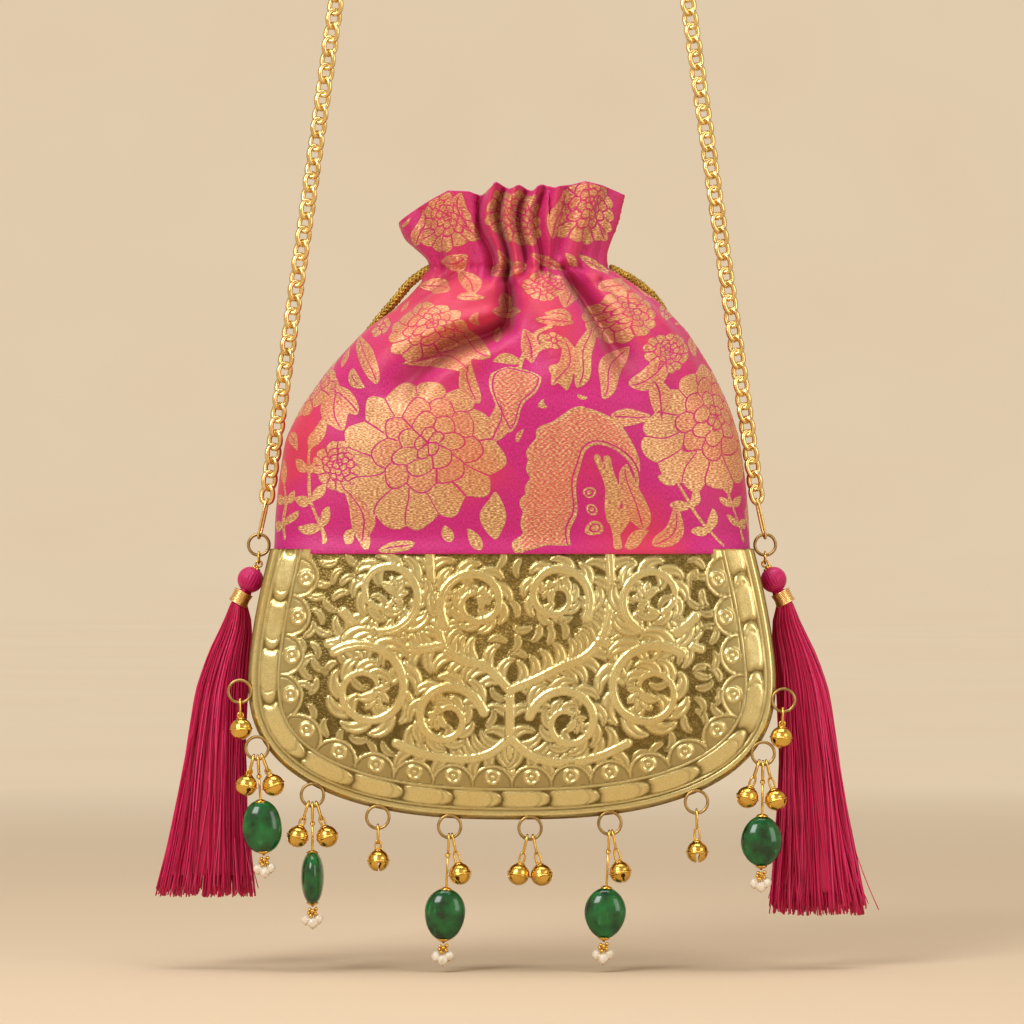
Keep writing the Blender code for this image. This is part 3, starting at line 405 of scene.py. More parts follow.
CORD_STEP = 0.8
CORD_PLIES = 8
BRAID_PITCH = 7.5
PLY_REACH = 1.28
PLY_RADIUS = 0.58
CORE_RADIUS = 1.15
CORD_ROUTE = (
    (-31.2, 3.9, 108.0), (-38.6, 4.4, 102.8), (-45.0, 7.2, 95.5), (-52.0, 12.2, 87.5),
    (-57.5, 16.4, 79.0), (-59.5, 23.4, 66.0), (-56.0, 28.4, 50.0), (-46.0, 30.6, 35.0),
    (-31.0, 30.4, 24.0), (-15.0, 30.0, 17.5), (1.0, 29.8, 15.5), (17.0, 30.0, 17.5),
    (33.0, 30.3, 24.0), (48.0, 30.4, 35.0), (59.0, 27.9, 50.0), (63.5, 23.6, 66.0),
    (62.5, 17.6, 80.0), (59.5, 13.0, 89.5), (54.0, 10.0, 97.5), (46.2, 6.8, 103.6),
    (37.5, 4.9, 108.0),
)


def smooth_route(points, steps):
    """A smooth curve through the points, with even steps between each two."""
    points = np.asarray(points, float)
    padded = np.concatenate([[points[0] * 2 - points[1]], points, [points[-1] * 2 - points[-2]]])
    out = []
    for a, b, c, d in zip(padded, padded[1:], padded[2:], padded[3:]):
        for t in np.arange(steps) / steps:
            out.append(0.5 * ((2 * b) + (c - a) * t + (2 * a - 5 * b + 4 * c - d) * t * t
                              + (3 * b - a - 3 * c + d) * t ** 3))
    out.append(points[-1])
    return np.array(out)


def even_route(route, step):
    """The same route with points an even step apart, and its length."""
    way = way_along(route)
    count = int(round(way[-1] / step)) + 1
    return read_off(np.linspace(0, way[-1], count), way, route), way[-1]


def make_drawstring():
    """One braided cord, whose plies cross over and under each other."""
    route, length = even_route(smooth_route(CORD_ROUTE, 12), CORD_STEP)
    _, one, two = path_frames(route)
    along = np.arange(len(route)) * CORD_STEP
    shape = Shape()
    for ply in range(CORD_PLIES):
        way = 1 if ply % 2 else -1
        turn = way * along / BRAID_PITCH * 2 * np.pi + ply // 2 * np.pi / 2 + (0.4 if way > 0 else 0)
        reach = PLY_REACH + 0.2 * way * np.cos(4 * turn)
        path = route + (one * np.cos(turn)[:, None] + two * np.sin(turn)[:, None]) * reach[:, None]
        shape.add(sweep(path, PLY_RADIUS, 5))
    shape.add(sweep(route, CORE_RADIUS, 6))
    cord = shape.piece("drawstring", [CORD_THREAD], "bag", "gold_cord", ["drawstring_loop"])


make_drawstring()

# Shape of the base

BASE_HALF_WIDTH = 100.5
BASE_MOUTH_HALF_WIDTH = 92.0
BASE_WIDEST_Z = -49.0
BASE_BELOW = 54.0
BASE_BOTTOM_Z = BASE_WIDEST_Z - BASE_BELOW
CORNER_POWER = 2.5
SHOULDER_POWER = 1.5
PLATE_RIM_Y = 14.3
PLATE_DOME = 10.0
DOME_POWER = 2.6
DOME_LEVEL_Z = -32.0


def base_half_width(z):
    """Half width of the metal base at heights below its mouth."""
    z = np.asarray(z, float)
    upper = np.clip((z - BASE_WIDEST_Z) / -BASE_WIDEST_Z, 0, 1)
    lower = np.clip((BASE_WIDEST_Z - z) / BASE_BELOW, 0, 1)
    above = BASE_HALF_WIDTH - (BASE_HALF_WIDTH - BASE_MOUTH_HALF_WIDTH) * upper ** SHOULDER_POWER
    below = BASE_HALF_WIDTH * (1 - lower ** CORNER_POWER) ** (1 / CORNER_POWER)
    return np.where(z >= BASE_WIDEST_Z, above, below)


def edge_point(degrees, side=1, proud=0.0):
    """Point beside the base's lower edge, by degrees down from its widest point."""
    power = 2 / CORNER_POWER

    def on_edge(angle):
        return np.array((BASE_HALF_WIDTH * math.cos(angle) ** power,
                         BASE_WIDEST_Z - BASE_BELOW * math.sin(angle) ** power))
    angle = math.radians(degrees)
    nudge = math.radians(0.5)
    run = on_edge(min(angle + nudge, math.pi / 2)) - on_edge(max(angle - nudge, 0))
    out = unit(np.array((-run[1], run[0])))
    point = on_edge(angle) + out * proud
    return np.array((side * point[0], point[1]))


def base_edge(count):
    """Even points along the base's edge, from the left mouth corner round to the right."""
    upper = np.linspace(0, BASE_WIDEST_Z, 80)
    right = np.stack([base_half_width(upper), upper], -1)
    angles = np.radians(np.linspace(0, 90, 300))
    power = 2 / CORNER_POWER
    lower = np.stack([BASE_HALF_WIDTH * np.cos(angles) ** power,
                      BASE_WIDEST_Z - BASE_BELOW * np.sin(angles) ** power], -1)
    half = np.concatenate([right, lower[1:]])
    loop = np.concatenate([half * (-1, 1), half[::-1][1:]])
    way = way_along(loop)
    return read_off(np.linspace(0, way[-1], count), way, loop)


def dome(x, z):
    """How far a plate stands out from its rim."""
    across = np.clip(1 - (np.abs(x) / np.maximum(base_half_width(z), 1)) ** DOME_POWER, 0, 1)
    drop = np.clip(DOME_LEVEL_Z - z, 0, None) / (DOME_LEVEL_Z - BASE_BOTTOM_Z)
    return PLATE_DOME * across * np.clip(1 - drop ** DOME_POWER, 0, 1)


# Embossed plates

# Leaf scrolls of the field: centre, radius, winding and the angle at which each starts
SCROLLS = (
    ((-48.3, -16.6), 17.5, 1, 205),
    ((-55.5, -53.6), 19.0, -1, 130),
    ((-25.0, -64.5), 14.5, 1, 10),
    ((-13.8, -20.4), 14.5, -1, 215),
    ((16.8, -18.0), 14.0, 1, -35),
    ((54.5, -18.4), 17.0, -1, -25),
    ((52.6, -54.0), 19.0, 1, 50),
    ((21.0, -66.0), 14.5, -1, 170),
)
# Stems between the scrolls: places across and up
STEMS = (
    ((-0.6, -88.0), (-0.8, -70.0), (-0.8, -53.6)),
    ((-0.8, -53.6), (-9.9, -44.6), (-19.0, -42.2), (-26.2, -36.5), (-28.5, -26.6), (-30.6, -13.7),
     (-31.5, 2.0)),
    ((-0.8, -53.6), (9.0, -49.6), (18.6, -44.8), (27.0, -41.4), (33.4, -35.0), (36.6, -26.6),
     (37.6, -13.7), (36.9, 2.0)),
    ((-26.2, -36.5), (-36.0, -38.0), (-46.0, -36.0), (-58.0, -34.0), (-70.0, -36.0)),
    ((33.4, -35.0), (42.0, -37.5), (52.0, -35.5), (62.0, -34.5), (72.0, -38.0)),
    ((-0.8, -72.0), (-9.0, -78.0), (-20.0, -80.0), (-34.0, -78.0), (-44.0, -74.0)),
    ((-0.8, -72.0), (8.0, -79.0), (20.0, -81.5), (33.0, -79.0), (44.0, -74.0)),
)
BOSS_EDGE = 16.0
BOSS_COUNT = 20
BORDER = 12.2
FILL_TRIES = 6000
FILL_LEAVES = 260
PLATE_COLUMNS = 404
PLATE_ROWS = 204


class Relief:
    """Heights raised on a plate's grid, stroke by stroke."""

    def __init__(self, x, z):
        self.x, self.z = x, z
        self.height = np.zeros_like(x)

    def window(self, points, margin):
        low = points.min(0) - margin
        high = points.max(0) + margin
        return (self.x > low[0]) & (self.x < high[0]) & (self.z > low[1]) & (self.z < high[1])

    def stroke(self, points, widths, rise, groove=0.0, veins=0.0, over=0.15):
        """A rounded ridge of varying half width, with a midrib and slanting veins."""
        points = np.asarray(points, float)
        widths = np.broadcast_to(np.asarray(widths, float), (len(points),))
        inside = self.window(points, widths.max() + 0.5)
        x, z = self.x[inside], self.z[inside]
        best = np.full(x.shape, 9e9)
        width = np.ones(x.shape)
        along = np.zeros(x.shape)
        signed = np.zeros(x.shape)
        reach = 0.0
        for a, b, wa, wb in zip(points, points[1:], widths, widths[1:]):
            run = b - a
            length = max(np.hypot(*run), 1e-9)
            share = np.clip(((x - a[0]) * run[0] + (z - a[1]) * run[1]) / length ** 2, 0, 1)
            dx, dz = x - a[0] - share * run[0], z - a[1] - share * run[1]
            half = wa + (wb - wa) * share
            distance = np.hypot(dx, dz)
            nearer = distance - half < best
            best = np.where(nearer, distance - half, best)
            width = np.where(nearer, half, width)
            along = np.where(nearer, reach + share * length, along)
            signed = np.where(nearer, distance, signed)
            reach += length
        width = np.maximum(width, 0.05)
        across = np.clip(signed / width, 0, 1)
        profile = np.sqrt(np.clip(1 - across ** 2.4, 0, 1))
        height = rise * profile * np.clip(width / 0.9, 0.3, 1)
        height = height - groove * np.exp(-(signed / 0.45) ** 2) * profile
        ribs = 0.5 - 0.5 * np.cos(2 * np.pi * across * 1.5 + 0.25 * along)
        height = height - veins * ribs * profile
        current = self.height[inside]
        raised = np.where(best < 0, np.maximum(height, current * over), current)
        self.height[inside] = np.where(best < 0, np.maximum(raised, 0.0), current)

    def curl(self, start, angle, length, bend, width, rise=1.1):
        """A leaf that starts at a place, heads off at an angle and curls."""
        steps = 9
        share = np.linspace(0, 1, steps)
        heading = angle + bend * share ** 1.3
        step = length / (steps - 1)
        points = [np.asarray(start, float)]
        for turn in heading[:-1]:
            points.append(points[-1] + step * np.array((math.cos(turn), math.sin(turn))))
        widths = width * np.sin(np.pi * (0.12 + 0.88 * share) ** 0.75) ** 0.8 + 0.12
        self.stroke(points, widths, rise, groove=0.3, veins=0.42)


def raise_scroll(relief, centre, radius, way, start):
    """One acanthus scroll: a winding stem with leaves outside and a leafy eye."""
    steps = 40
    share = np.linspace(0, 1, steps)
    turn = np.radians(start) + way * share * 1.45 * 2 * np.pi
    reach = radius * (1 - 0.82 * share ** 0.85)
    spine = np.stack([centre[0] + reach * np.cos(turn), centre[1] + reach * np.sin(turn)], -1)
    for i in range(1, steps - 8, 3):
        run = spine[i + 1] - spine[i - 1]
        heading = math.atan2(run[1], run[0])
        size = radius * (0.86 - 0.36 * share[i])
        relief.curl(spine[i], heading - way * 0.75, size, way * 2.1, size * 0.2, 1.05)
        if i % 2 and i < steps // 2:
            relief.curl(spine[i], heading + way * 0.7, size * 0.7, way * 1.9, size * 0.2, 0.95)
    relief.stroke(spine, 2.1 - 1.2 * share, 1.3, groove=0.45, over=0.0)
    eye = spine[-1]
    for k in range(5):
        angle = turn[-1] + way * (k - 1.5) * 0.85
        relief.curl(eye, angle, radius * 0.36, way * 0.9, radius * 0.11, 1.15)


def raise_stem(relief, points):
    """A stem with small paired leaves."""
    path = smooth_route([(p[0], p[1], 0.0) for p in points], 8)[:, :2]
    for i in range(3, len(path) - 2, 4):
        run = path[i + 1] - path[i - 1]
        heading = math.atan2(run[1], run[0])
        for way in (-1, 1):
            relief.curl(path[i], heading + way * 0.7, 12.0, way * 1.9, 2.2, 1.0)
    relief.stroke(path, 1.9, 1.25, groove=0.45, over=0.0)


def fill_leaves(relief, field):
    """Small leaves wherever the field is still bare."""
    spots = np.argwhere(field)
    RANDOM.shuffle(spots)
    taken = 0
    for row, column in spots[:FILL_TRIES]:
        x, z = relief.x[row, column], relief.z[row, column]
        near = (np.abs(relief.x - x) < 2.0) & (np.abs(relief.z - z) < 2.0)
        if relief.height[near].max() > 0.05:
            continue
        angle = RANDOM.uniform(0, 2 * np.pi)
        relief.curl((x - 2.8 * math.cos(angle), z - 2.8 * math.sin(angle)), angle, 8.0,
                    RANDOM.choice((-2.0, 2.0)), 1.5, 0.9)
        taken += 1
        if taken > FILL_LEAVES:
            break


def plate_grid():
    """Places across and up of a plate's points, row by row from mouth to bottom."""
    q = np.linspace(0, 1, PLATE_ROWS)
    z = BASE_BOTTOM_Z * (1 - (1 - q) ** 1.12) ** (1 / 1.03)
    z[-1] = BASE_BOTTOM_Z + 0.02
    a = np.linspace(-1, 1, PLATE_COLUMNS)
    x = a[None, :] * base_half_width(z)[:, None]
    return x, np.repeat(z[:, None], PLATE_COLUMNS, 1)


def edge_places(x, z):
    """Distance from the base's edge and place along the bosses' line, and that line's length."""
    edge = base_edge(900)
    run = unit(np.gradient(edge, axis=0))
    inner = edge - np.stack([run[:, 1], -run[:, 0]], -1) * BOSS_EDGE
    way = way_along(inner)
    inset = np.empty(x.shape)
    along = np.empty(x.shape)
    for row in range(len(x)):
        gap = np.hypot(x[row, :, None] - edge[:, 0], z[row, :, None] - edge[:, 1])
        nearest = gap.argmin(1)
        inset[row] = gap[np.arange(len(nearest)), nearest]
        along[row] = way[nearest]
    return inset, along, float(way[-1])


def edge_relief(inset, along, length):
    """The border's height, and what lies inside it, in the leafy field."""
    step = length / BOSS_COUNT
    place = (along / step) % 1.0 - 0.5
    across = place * step
    rim = 0.9 * np.clip(1 - np.abs(inset - 1.6) / 1.6, 0, 1) ** 0.5
    bead = 0.7 * np.exp(-((inset - 3.9) / 0.45) ** 2)
    petal_place = ((along / (step * 1.22) + 0.2 * ((inset - 7.5) / 4) ** 2) % 1.0 - 0.5) * step * 1.22
    petal = 1 - (petal_place / 8.8) ** 4 - ((inset - 7.6) / 3.3) ** 4
    petals = 0.8 * np.sqrt(np.clip(petal * 1.6, 0, 1))
    petals -= 0.3 * np.exp(-((petal_place - 5.2) / 0.45) ** 2) * (petals > 0.1)
    line = 0.75 * np.exp(-((inset - 11.5) / 0.5) ** 2)
    arch = np.hypot(across / 1.02, inset - 12.6)
    arch_line = 0.85 * np.exp(-((arch - 7.6) / 0.55) ** 2) * (inset > 12.3)
    disc = np.clip((7.0 - arch) / 0.8, 0, 1) * (inset > 12.3)
    boss = np.hypot(across, inset - BOSS_EDGE)
    ring = 0.95 * np.exp(-((boss - 2.35) / 0.55) ** 2) + 0.8 * np.exp(-(boss / 0.75) ** 2)
    height = np.maximum.reduce([rim, bead, petals, line, arch_line, disc * 0.35 + ring])
    border = (inset < BORDER) | (arch < 8.3)
    return height, ~border


def plate_mesh(front):
    """Points, relief and bare ground of one plate; front is -1 for the front, 1 for the back."""
    x, z = plate_grid()
    inset, along, length = edge_places(x, z)
    border, field = edge_relief(inset, along, length)
    relief = Relief(x * (1 if front < 0 else -1), z)
    for points in STEMS:
        raise_stem(relief, points)
    for centre, radius, way, start in SCROLLS:
        raise_scroll(relief, centre, radius, way, start)
    fill_leaves(relief, field & (inset > 20) & (z < -4))
    leaf = relief.height * field * np.clip((inset - BORDER) / 1.2, 0, 1)
    height = np.where(field, leaf, border)
    height *= np.clip(inset / 1.4, 0, 1)
    dents = 0.12 * np.sin(x / 9.0 + 1.3) * np.sin(z / 7.5) + 0.08 * np.sin(x / 4.1 + z / 5.3)
    y = front * (PLATE_RIM_Y + dome(x, z) + (height + dents * np.clip(inset / 8, 0, 1)))
    return np.stack([x, y, z], -1), height, field * np.clip(1 - leaf / 0.25, 0, 1)


def make_plate_look():
    """Embossed white brass: bright on the high points, brown and stippled in the ground."""
    look = Look("embossed_metal", Metallic=1.0)
    height = look.field("relief")
    ground = look.field("ground")
    patch = look.noise(26.0, detail=3.0)
    fine = look.noise(420.0, detail=4.0)
    cells = look.node("TexVoronoi", {"Vector": look.spot, "Scale": 1150.0}).outputs["Distance"]
    stipple = look.math("MULTIPLY", look.math("SUBTRACT", 1.0, cells, clamp=True), ground)
    raised = look.span(height, 0.05, 0.8)
    base = look.mix(raised, rgb(132, 116, 70), rgb(220, 208, 152))
    base = look.mix(look.span(patch, 0.42, 0.68, 0.0, 0.5), base, rgb(208, 178, 104))
    hollow = look.math("MULTIPLY", look.span(cells, 0.25, 0.6), ground)
    base = look.mix(look.math("MULTIPLY", hollow, 0.5), base, rgb(92, 76, 36))
    edge = look.span(height, 0.22, 0.0, 0.0, 0.55)
    base = look.mix(look.math("MULTIPLY", edge, look.span(fine, 0.4, 0.6)), base, rgb(92, 78, 38))
    roughness = look.math("ADD", look.span(raised, 0.0, 1.0, 0.36, 0.22),
                          look.span(fine, 0.3, 0.7, 0.0, 0.1))
    normal = look.bump(stipple, 0.55, 0.00045)
    return look.set(Base_Color=base, Roughness=roughness,
                    Normal=look.bump(fine, 0.18, 0.00025, normal))


PLATE_LOOK = make_plate_look()


def make_plate(name, front):
    """One embossed plate with a turned-in rim."""
    verts, height, ground = plate_mesh(front)
    rows, columns = height.shape
    faces = grid_faces(rows, columns, closed=False)
    if front < 0:
        faces = [f[::-1] for f in faces]
    edge = ([(r, 0) for r in range(rows)] + [(rows - 1, c) for c in range(1, columns - 1)]
            + [(r, columns - 1) for r in range(rows - 1, -1, -1)]
            + [(0, c) for c in range(columns - 2, 0, -1)])
    index = np.array([r * columns + c for r, c in edge])
    flat = verts.reshape(-1, 3)
    lip = flat[index].copy()
    lip[:, 1] -= front * 1.2
    start = len(flat)
    count = len(index)
    for k in range(count):
        j = (k + 1) % count
        face = [index[k], index[j], start + j, start + k]
        faces.append([int(i) for i in (face[::-1] if front > 0 else face)])
    shape = Shape()
    shape.add((np.concatenate([flat, lip]), faces))
    relief = np.concatenate([height.ravel(), np.full(count, 0.5)])
    bare = np.concatenate([ground.ravel(), np.zeros(count)])
    return shape.piece(name + "_embossed", [PLATE_LOOK], "bag", "embossed_metal", [name],
                       {"relief": relief, "ground": bare})


make_plate("front_plate", -1)
make_plate("back_plate", 1)


def make_band():
    """The strip between the plates, with two rolled edges."""
    edge = base_edge(260)
    look = Look("band_metal", Metallic=1.0)
    stain = look.noise(60.0, detail=5.0)
    fine = look.noise(900.0, detail=3.0)
    base = look.mix(look.span(stain, 0.35, 0.7), rgb(168, 128, 84), rgb(110, 70, 48))
    material = look.set(Base_Color=base, Roughness=look.span(fine, 0.3, 0.7, 0.3, 0.5),
                        Normal=look.bump(fine, 0.3, 0.0001))
    run = unit(np.gradient(edge, axis=0))
    out = np.stack([run[:, 1], -run[:, 0]], -1)
    profile = ((-13.0, -1.0), (-13.0, 0.0), (-12.2, 0.35), (-11.2, 0.0), (-4.0, 0.0), (4.0, 0.0),
               (11.2, 0.0), (12.2, 0.35), (13.0, 0.0), (13.0, -1.0))
    rows = []
    for y, proud in profile:
        spot = edge + out * proud
        rows.append(np.stack([spot[:, 0], np.full(len(edge), y), spot[:, 1]], -1))
    verts = np.stack(rows)
    faces = grid_faces(len(profile), len(edge), closed=False)
    shape = Shape()
    last = (len(profile) - 1) * len(edge)
    faces += [[i + last, i + 1 + last, i + 1, i] for i in range(len(edge) - 1)]
    shape.add((verts.reshape(-1, 3), [f[::-1] for f in faces]))
    return shape.piece("band", [material], "bag", "band_metal", ["side_band"])


make_band()

# The pouch

# Levels of the pouch: height, middle, half width, half depth, roundness and gather
POUCH_ROWS = np.array((
    (0.0, 0.0, 91.2, 23.6, 2.7, 0.0), (12.0, 0.0, 90.9, 26.5, 2.5, 0.0),
    (26.0, 0.0, 89.5, 29.0, 2.3, 0.2), (42.0, 0.0, 87.0, 31.0, 2.2, 0.5),
    (54.0, 1.0, 82.0, 31.5, 2.1, 0.9), (68.0, 2.5, 73.5, 30.0, 2.1, 1.5),
    (83.0, 4.7, 61.5, 25.0, 2.0, 2.0), (95.0, 7.0, 47.5, 19.0, 2.0, 2.4),
    (103.0, 4.5, 38.0, 14.0, 2.0, 2.6), (109.0, 2.0, 31.5, 11.0, 2.0, 2.8),
    (115.0, 0.0, 35.0, 11.5, 2.0, 2.8), (124.0, -1.0, 39.5, 12.5, 2.0, 3.0),
    (136.0, -1.0, 42.0, 14.0, 2.0, 3.2),
))
NECK_Z = 109.0
TOP_Z = 136.0
HEM_Z = -1.4
FOLD_GAIN = 1.3
PLEAT_GAIN = 1.05
CLOTH_COLUMNS = 480
CLOTH_ROWS = 200
CLOTH_THICKNESS = 0.8
# What a distance field holds where nothing is near
FAR = 9.0
# Folds of the front: points across and up, each with the fold's depth and half width
FOLDS = (
    ((-3.5, 106, -3, 2.2), (-1.8, 100, -6, 2.6), (-1.4, 92, -8.5, 3), (-3, 85, -8.5, 3.6),
     (-10, 81.5, -7.5, 4), (-22, 78, -7, 4.6), (-33, 71.5, -6, 5.2), (-42, 62, -3, 6), (-47, 54, 0, 6)),
    ((-5, 101, 2.5, 4), (-14, 96, 4.5, 6), (-27, 91.5, 5, 8), (-40, 84, 3.5, 9), (-52, 72, 1.5, 9),
     (-60, 60, 0, 9)),
    ((-8, 89.5, 2.5, 3), (-20, 86, 3.5, 3.6), (-32, 80, 2.5, 4), (-42, 72, 0, 5)),
    ((-4, 77, 1.5, 4), (-16, 72, 2.2, 5), (-30, 65, 1.5, 6), (-40, 54, 0, 6)),
    ((20, 107, -4, 2.2), (26, 99, -7.5, 3), (33, 88.5, -7.5, 3.8), (40, 76.5, -6, 4.8),
     (46, 66, -2.5, 6), (50, 57, 0, 6)),
    ((6, 107, 3, 4.5), (10, 97, 4.5, 7), (15, 86, 4.5, 9), (20, 74, 2.5, 10), (23, 60, 0, 10)),
    ((31, 105, 2, 3.5), (42, 95, 4, 5.5), (53, 84, 3.5, 7), (64, 69, 1.5, 9), (70, 58, 0, 9)),
    ((34, 102, -2.5, 2), (47, 90, -3, 3), (59, 77, -2, 4), (67, 64, 0, 5)),
    ((-20, 106, -2.5, 2), (-30, 100, -3, 2.8), (-42, 91, -2, 4), (-54, 78, 0, 5)),
    ((9, 84, -1.2, 4), (8, 72, -1.5, 5), (3, 60, 0, 6)),
    ((-60, 50, -1.2, 7), (-66, 34, -1.0, 8), (-70, 18, 0, 8)),
    ((56, 56, -1.4, 7), (62, 40, -1.2, 8), (66, 22, 0, 8)),
    ((-26, 50, 1.0, 10), (-20, 34, 0.8, 11), (-18, 18, 0, 11)),
    ((28, 52, 0.9, 10), (30, 34, 0.8, 11), (28, 16, 0, 11)),
)
# Pleats through the neck into the ruffle: across at the neck and at the top, depth, half width
PLEATS = (
    (-27.0, -37.0, -1.6, 2.4), (-18.5, -24.0, 2.4, 4.6), (-10.0, -12.5, -4.4, 1.9),
    (-6.6, -6.6, 3.6, 1.8), (-3.8, -2.6, -5.0, 1.3), (-0.8, 1.8, 3.4, 1.8), (2.8, 6.2, -4.2, 1.3),
    (6.2, 9.8, 1.8, 1.5), (9.2, 13.6, -3.4, 1.5), (12.4, 18.2, 1.8, 2.2), (16.0, 23.0, -2.2, 2.0),
    (21.0, 31.0, 2.2, 4.2), (26.0, 38.5, -1.6, 1.7),
)
# The mouth's upper edge: across and up
RUFFLE_TOP = np.array((
    (-46, 123.5), (-43, 125.5), (-35, 131.0), (-24.5, 136.5), (-16, 136.2), (-12, 134.8),
    (-6, 139.6), (-1, 137.4), (3, 138.4), (7.5, 136.6), (12, 139), (16, 137.6), (28, 140.2),
    (37, 138.2), (43, 135.6),
))


def fold_shift(x, z, lines):
    """How far folds push the cloth out at places across and up."""
    shift = np.zeros_like(x)
    for line in lines:
        best = np.full(x.shape, 9e9)
        depth = np.zeros_like(x)
        for (x0, z0, d0, w0), (x1, z1, d1, w1) in zip(line, line[1:]):
            run = np.array((x1 - x0, z1 - z0))
            share = np.clip(((x - x0) * run[0] + (z - z0) * run[1]) / (run @ run), 0, 1)
            gap = np.hypot(x - x0 - share * run[0], z - z0 - share * run[1])
            width = w0 + (w1 - w0) * share
            value = (d0 + (d1 - d0) * share) * np.exp(-(gap / width) ** 2)
            nearer = gap / width < best
            depth = np.where(nearer, value, depth)
            best = np.where(nearer, gap / width, best)
        shift += depth
    return shift


def section(half_width, half_depth, power, columns):
    """Even points round a level from the front's middle, their outward ways, and its length."""
    turn = np.linspace(0, 2 * np.pi, 1441) - np.pi / 2
    loop = np.stack([half_width * fuller(np.cos(turn), 2 / power),
                     half_depth * fuller(np.sin(turn), 2 / power)], -1)
    way = way_along(loop)
    points = read_off(way[-1] * np.arange(columns) / columns, way, loop)
    run = unit(np.roll(points, -1, 0) - np.roll(points, 1, 0))
    return points, np.stack([run[:, 1], -run[:, 0]], -1), way[-1]


def cloth_levels(count):
    """Smoothed levels of the pouch, evenly spaced up the cloth, and their way up it."""
    gap, reach = 0.25, 24
    fine = np.arange(HEM_Z, TOP_Z + 0.01, gap)
    rows = read_off(fine, POUCH_ROWS[:, 0], POUCH_ROWS[:, 1:])
    rows = soften(np.pad(rows, ((reach, reach), (0, 0)), "edge"), reach, 9.0)
    slope = np.gradient(rows, gap, axis=0)
    step = np.sqrt(1 + 0.5 * (slope[:, 1] ** 2 + slope[:, 2] ** 2)) * gap
    way = np.concatenate([[0], np.cumsum(step[:-1])])
    want = np.linspace(0, way[-1], count)
    return read_off(want, way, np.c_[fine, rows]), want


def cloth_grid(columns, count):
    """Points of the pouch, its undistorted places on the cloth, and its fold heights."""
    levels, ups = cloth_levels(count)
    k = np.arange(columns)
    turn = 2 * np.pi * k / columns
    pleat_lines = [((a, 101, 0, w), (a, 106, d, w), (a, 110, d, w), (b, 138, d, w * 1.3))
                   for a, b, d, w in PLEATS]
    points, places, folds = [], [], []
    for (z, middle, half_width, half_depth, power, pleat), up in zip(levels, ups):
        spot, out, around = section(half_width, half_depth, power, columns)
        x = middle + spot[:, 0]
        side = np.where(out[:, 1] < 0, 1.0, -1.0)
        facing = np.minimum(np.abs(out[:, 1]) * 1.3, 1)
        ruffle = max(z - NECK_Z, 0) / (TOP_Z - NECK_Z)
        level = np.full(columns, z)
        shift = FOLD_GAIN * fold_shift(side * x, level, FOLDS) * facing * (1 - ruffle)
        if z > 98:
            sway = side * x - 2.4 * np.sin((z - 100) / 36 * 2 * np.pi) * (np.abs(x) < 14)
            shift += PLEAT_GAIN * fold_shift(sway, level, pleat_lines) * facing
        # Gathers all round, the cord's groove, the hem's roll, and shallow waves low down and above
        gather = pleat * (0.5 * np.cos(12 * turn) + 0.35 * np.cos(19 * turn + 1.1))
        shift += gather * np.where(side > 0, 0.25 + 0.75 * (1 - facing), 0.9)
        shift -= 1.1 * math.exp(-((z - 107.6) / 1.2) ** 2)
        shift += 0.4 * np.cos(46 * turn + 0.8 * np.sin(9 * turn)) * math.exp(-((z - 107.5) / 3.5) ** 2)
        shift += 2.3 * np.abs(out[:, 1]) * math.exp(-((z - HEM_Z) / 4.5) ** 2)
        low = math.exp(-((z - 4) / 9) ** 2)
        shift += 0.35 * np.sin(x / 6.1 + 0.4) * np.sin(x / 17.0 + 1) * low * facing
        wave = 0.45 * np.sin(x / 11.0 + z / 19.0) * np.sin(z / 13.0 + x / 31.0)
        shift += wave * facing * (1 - ruffle)
        spot = spot + out * shift[:, None]
        across = middle + spot[:, 0]
        lip = np.interp(across, RUFFLE_TOP[:, 0], RUFFLE_TOP[:, 1])
        back = np.where(side < 0, -1.2 + 1.0 * np.sin(across / 5.0), 0.0) * facing
        high = np.where(ruffle > 0, ruffle * (lip + back - TOP_Z), 0.0)
        points.append(np.stack([across, spot[:, 1], level + high], -1))
        share = k / columns
        panel = (share > 0.25) & (share < 0.75)
        along = np.where(panel, share - 0.5, np.where(share > 0.5, share - 1, share)) * around
        places.append(np.stack([along, np.full(columns, up), panel.astype(float)], -1))
        folds.append(shift)
    return np.array(points), np.array(places), np.array(folds), levels


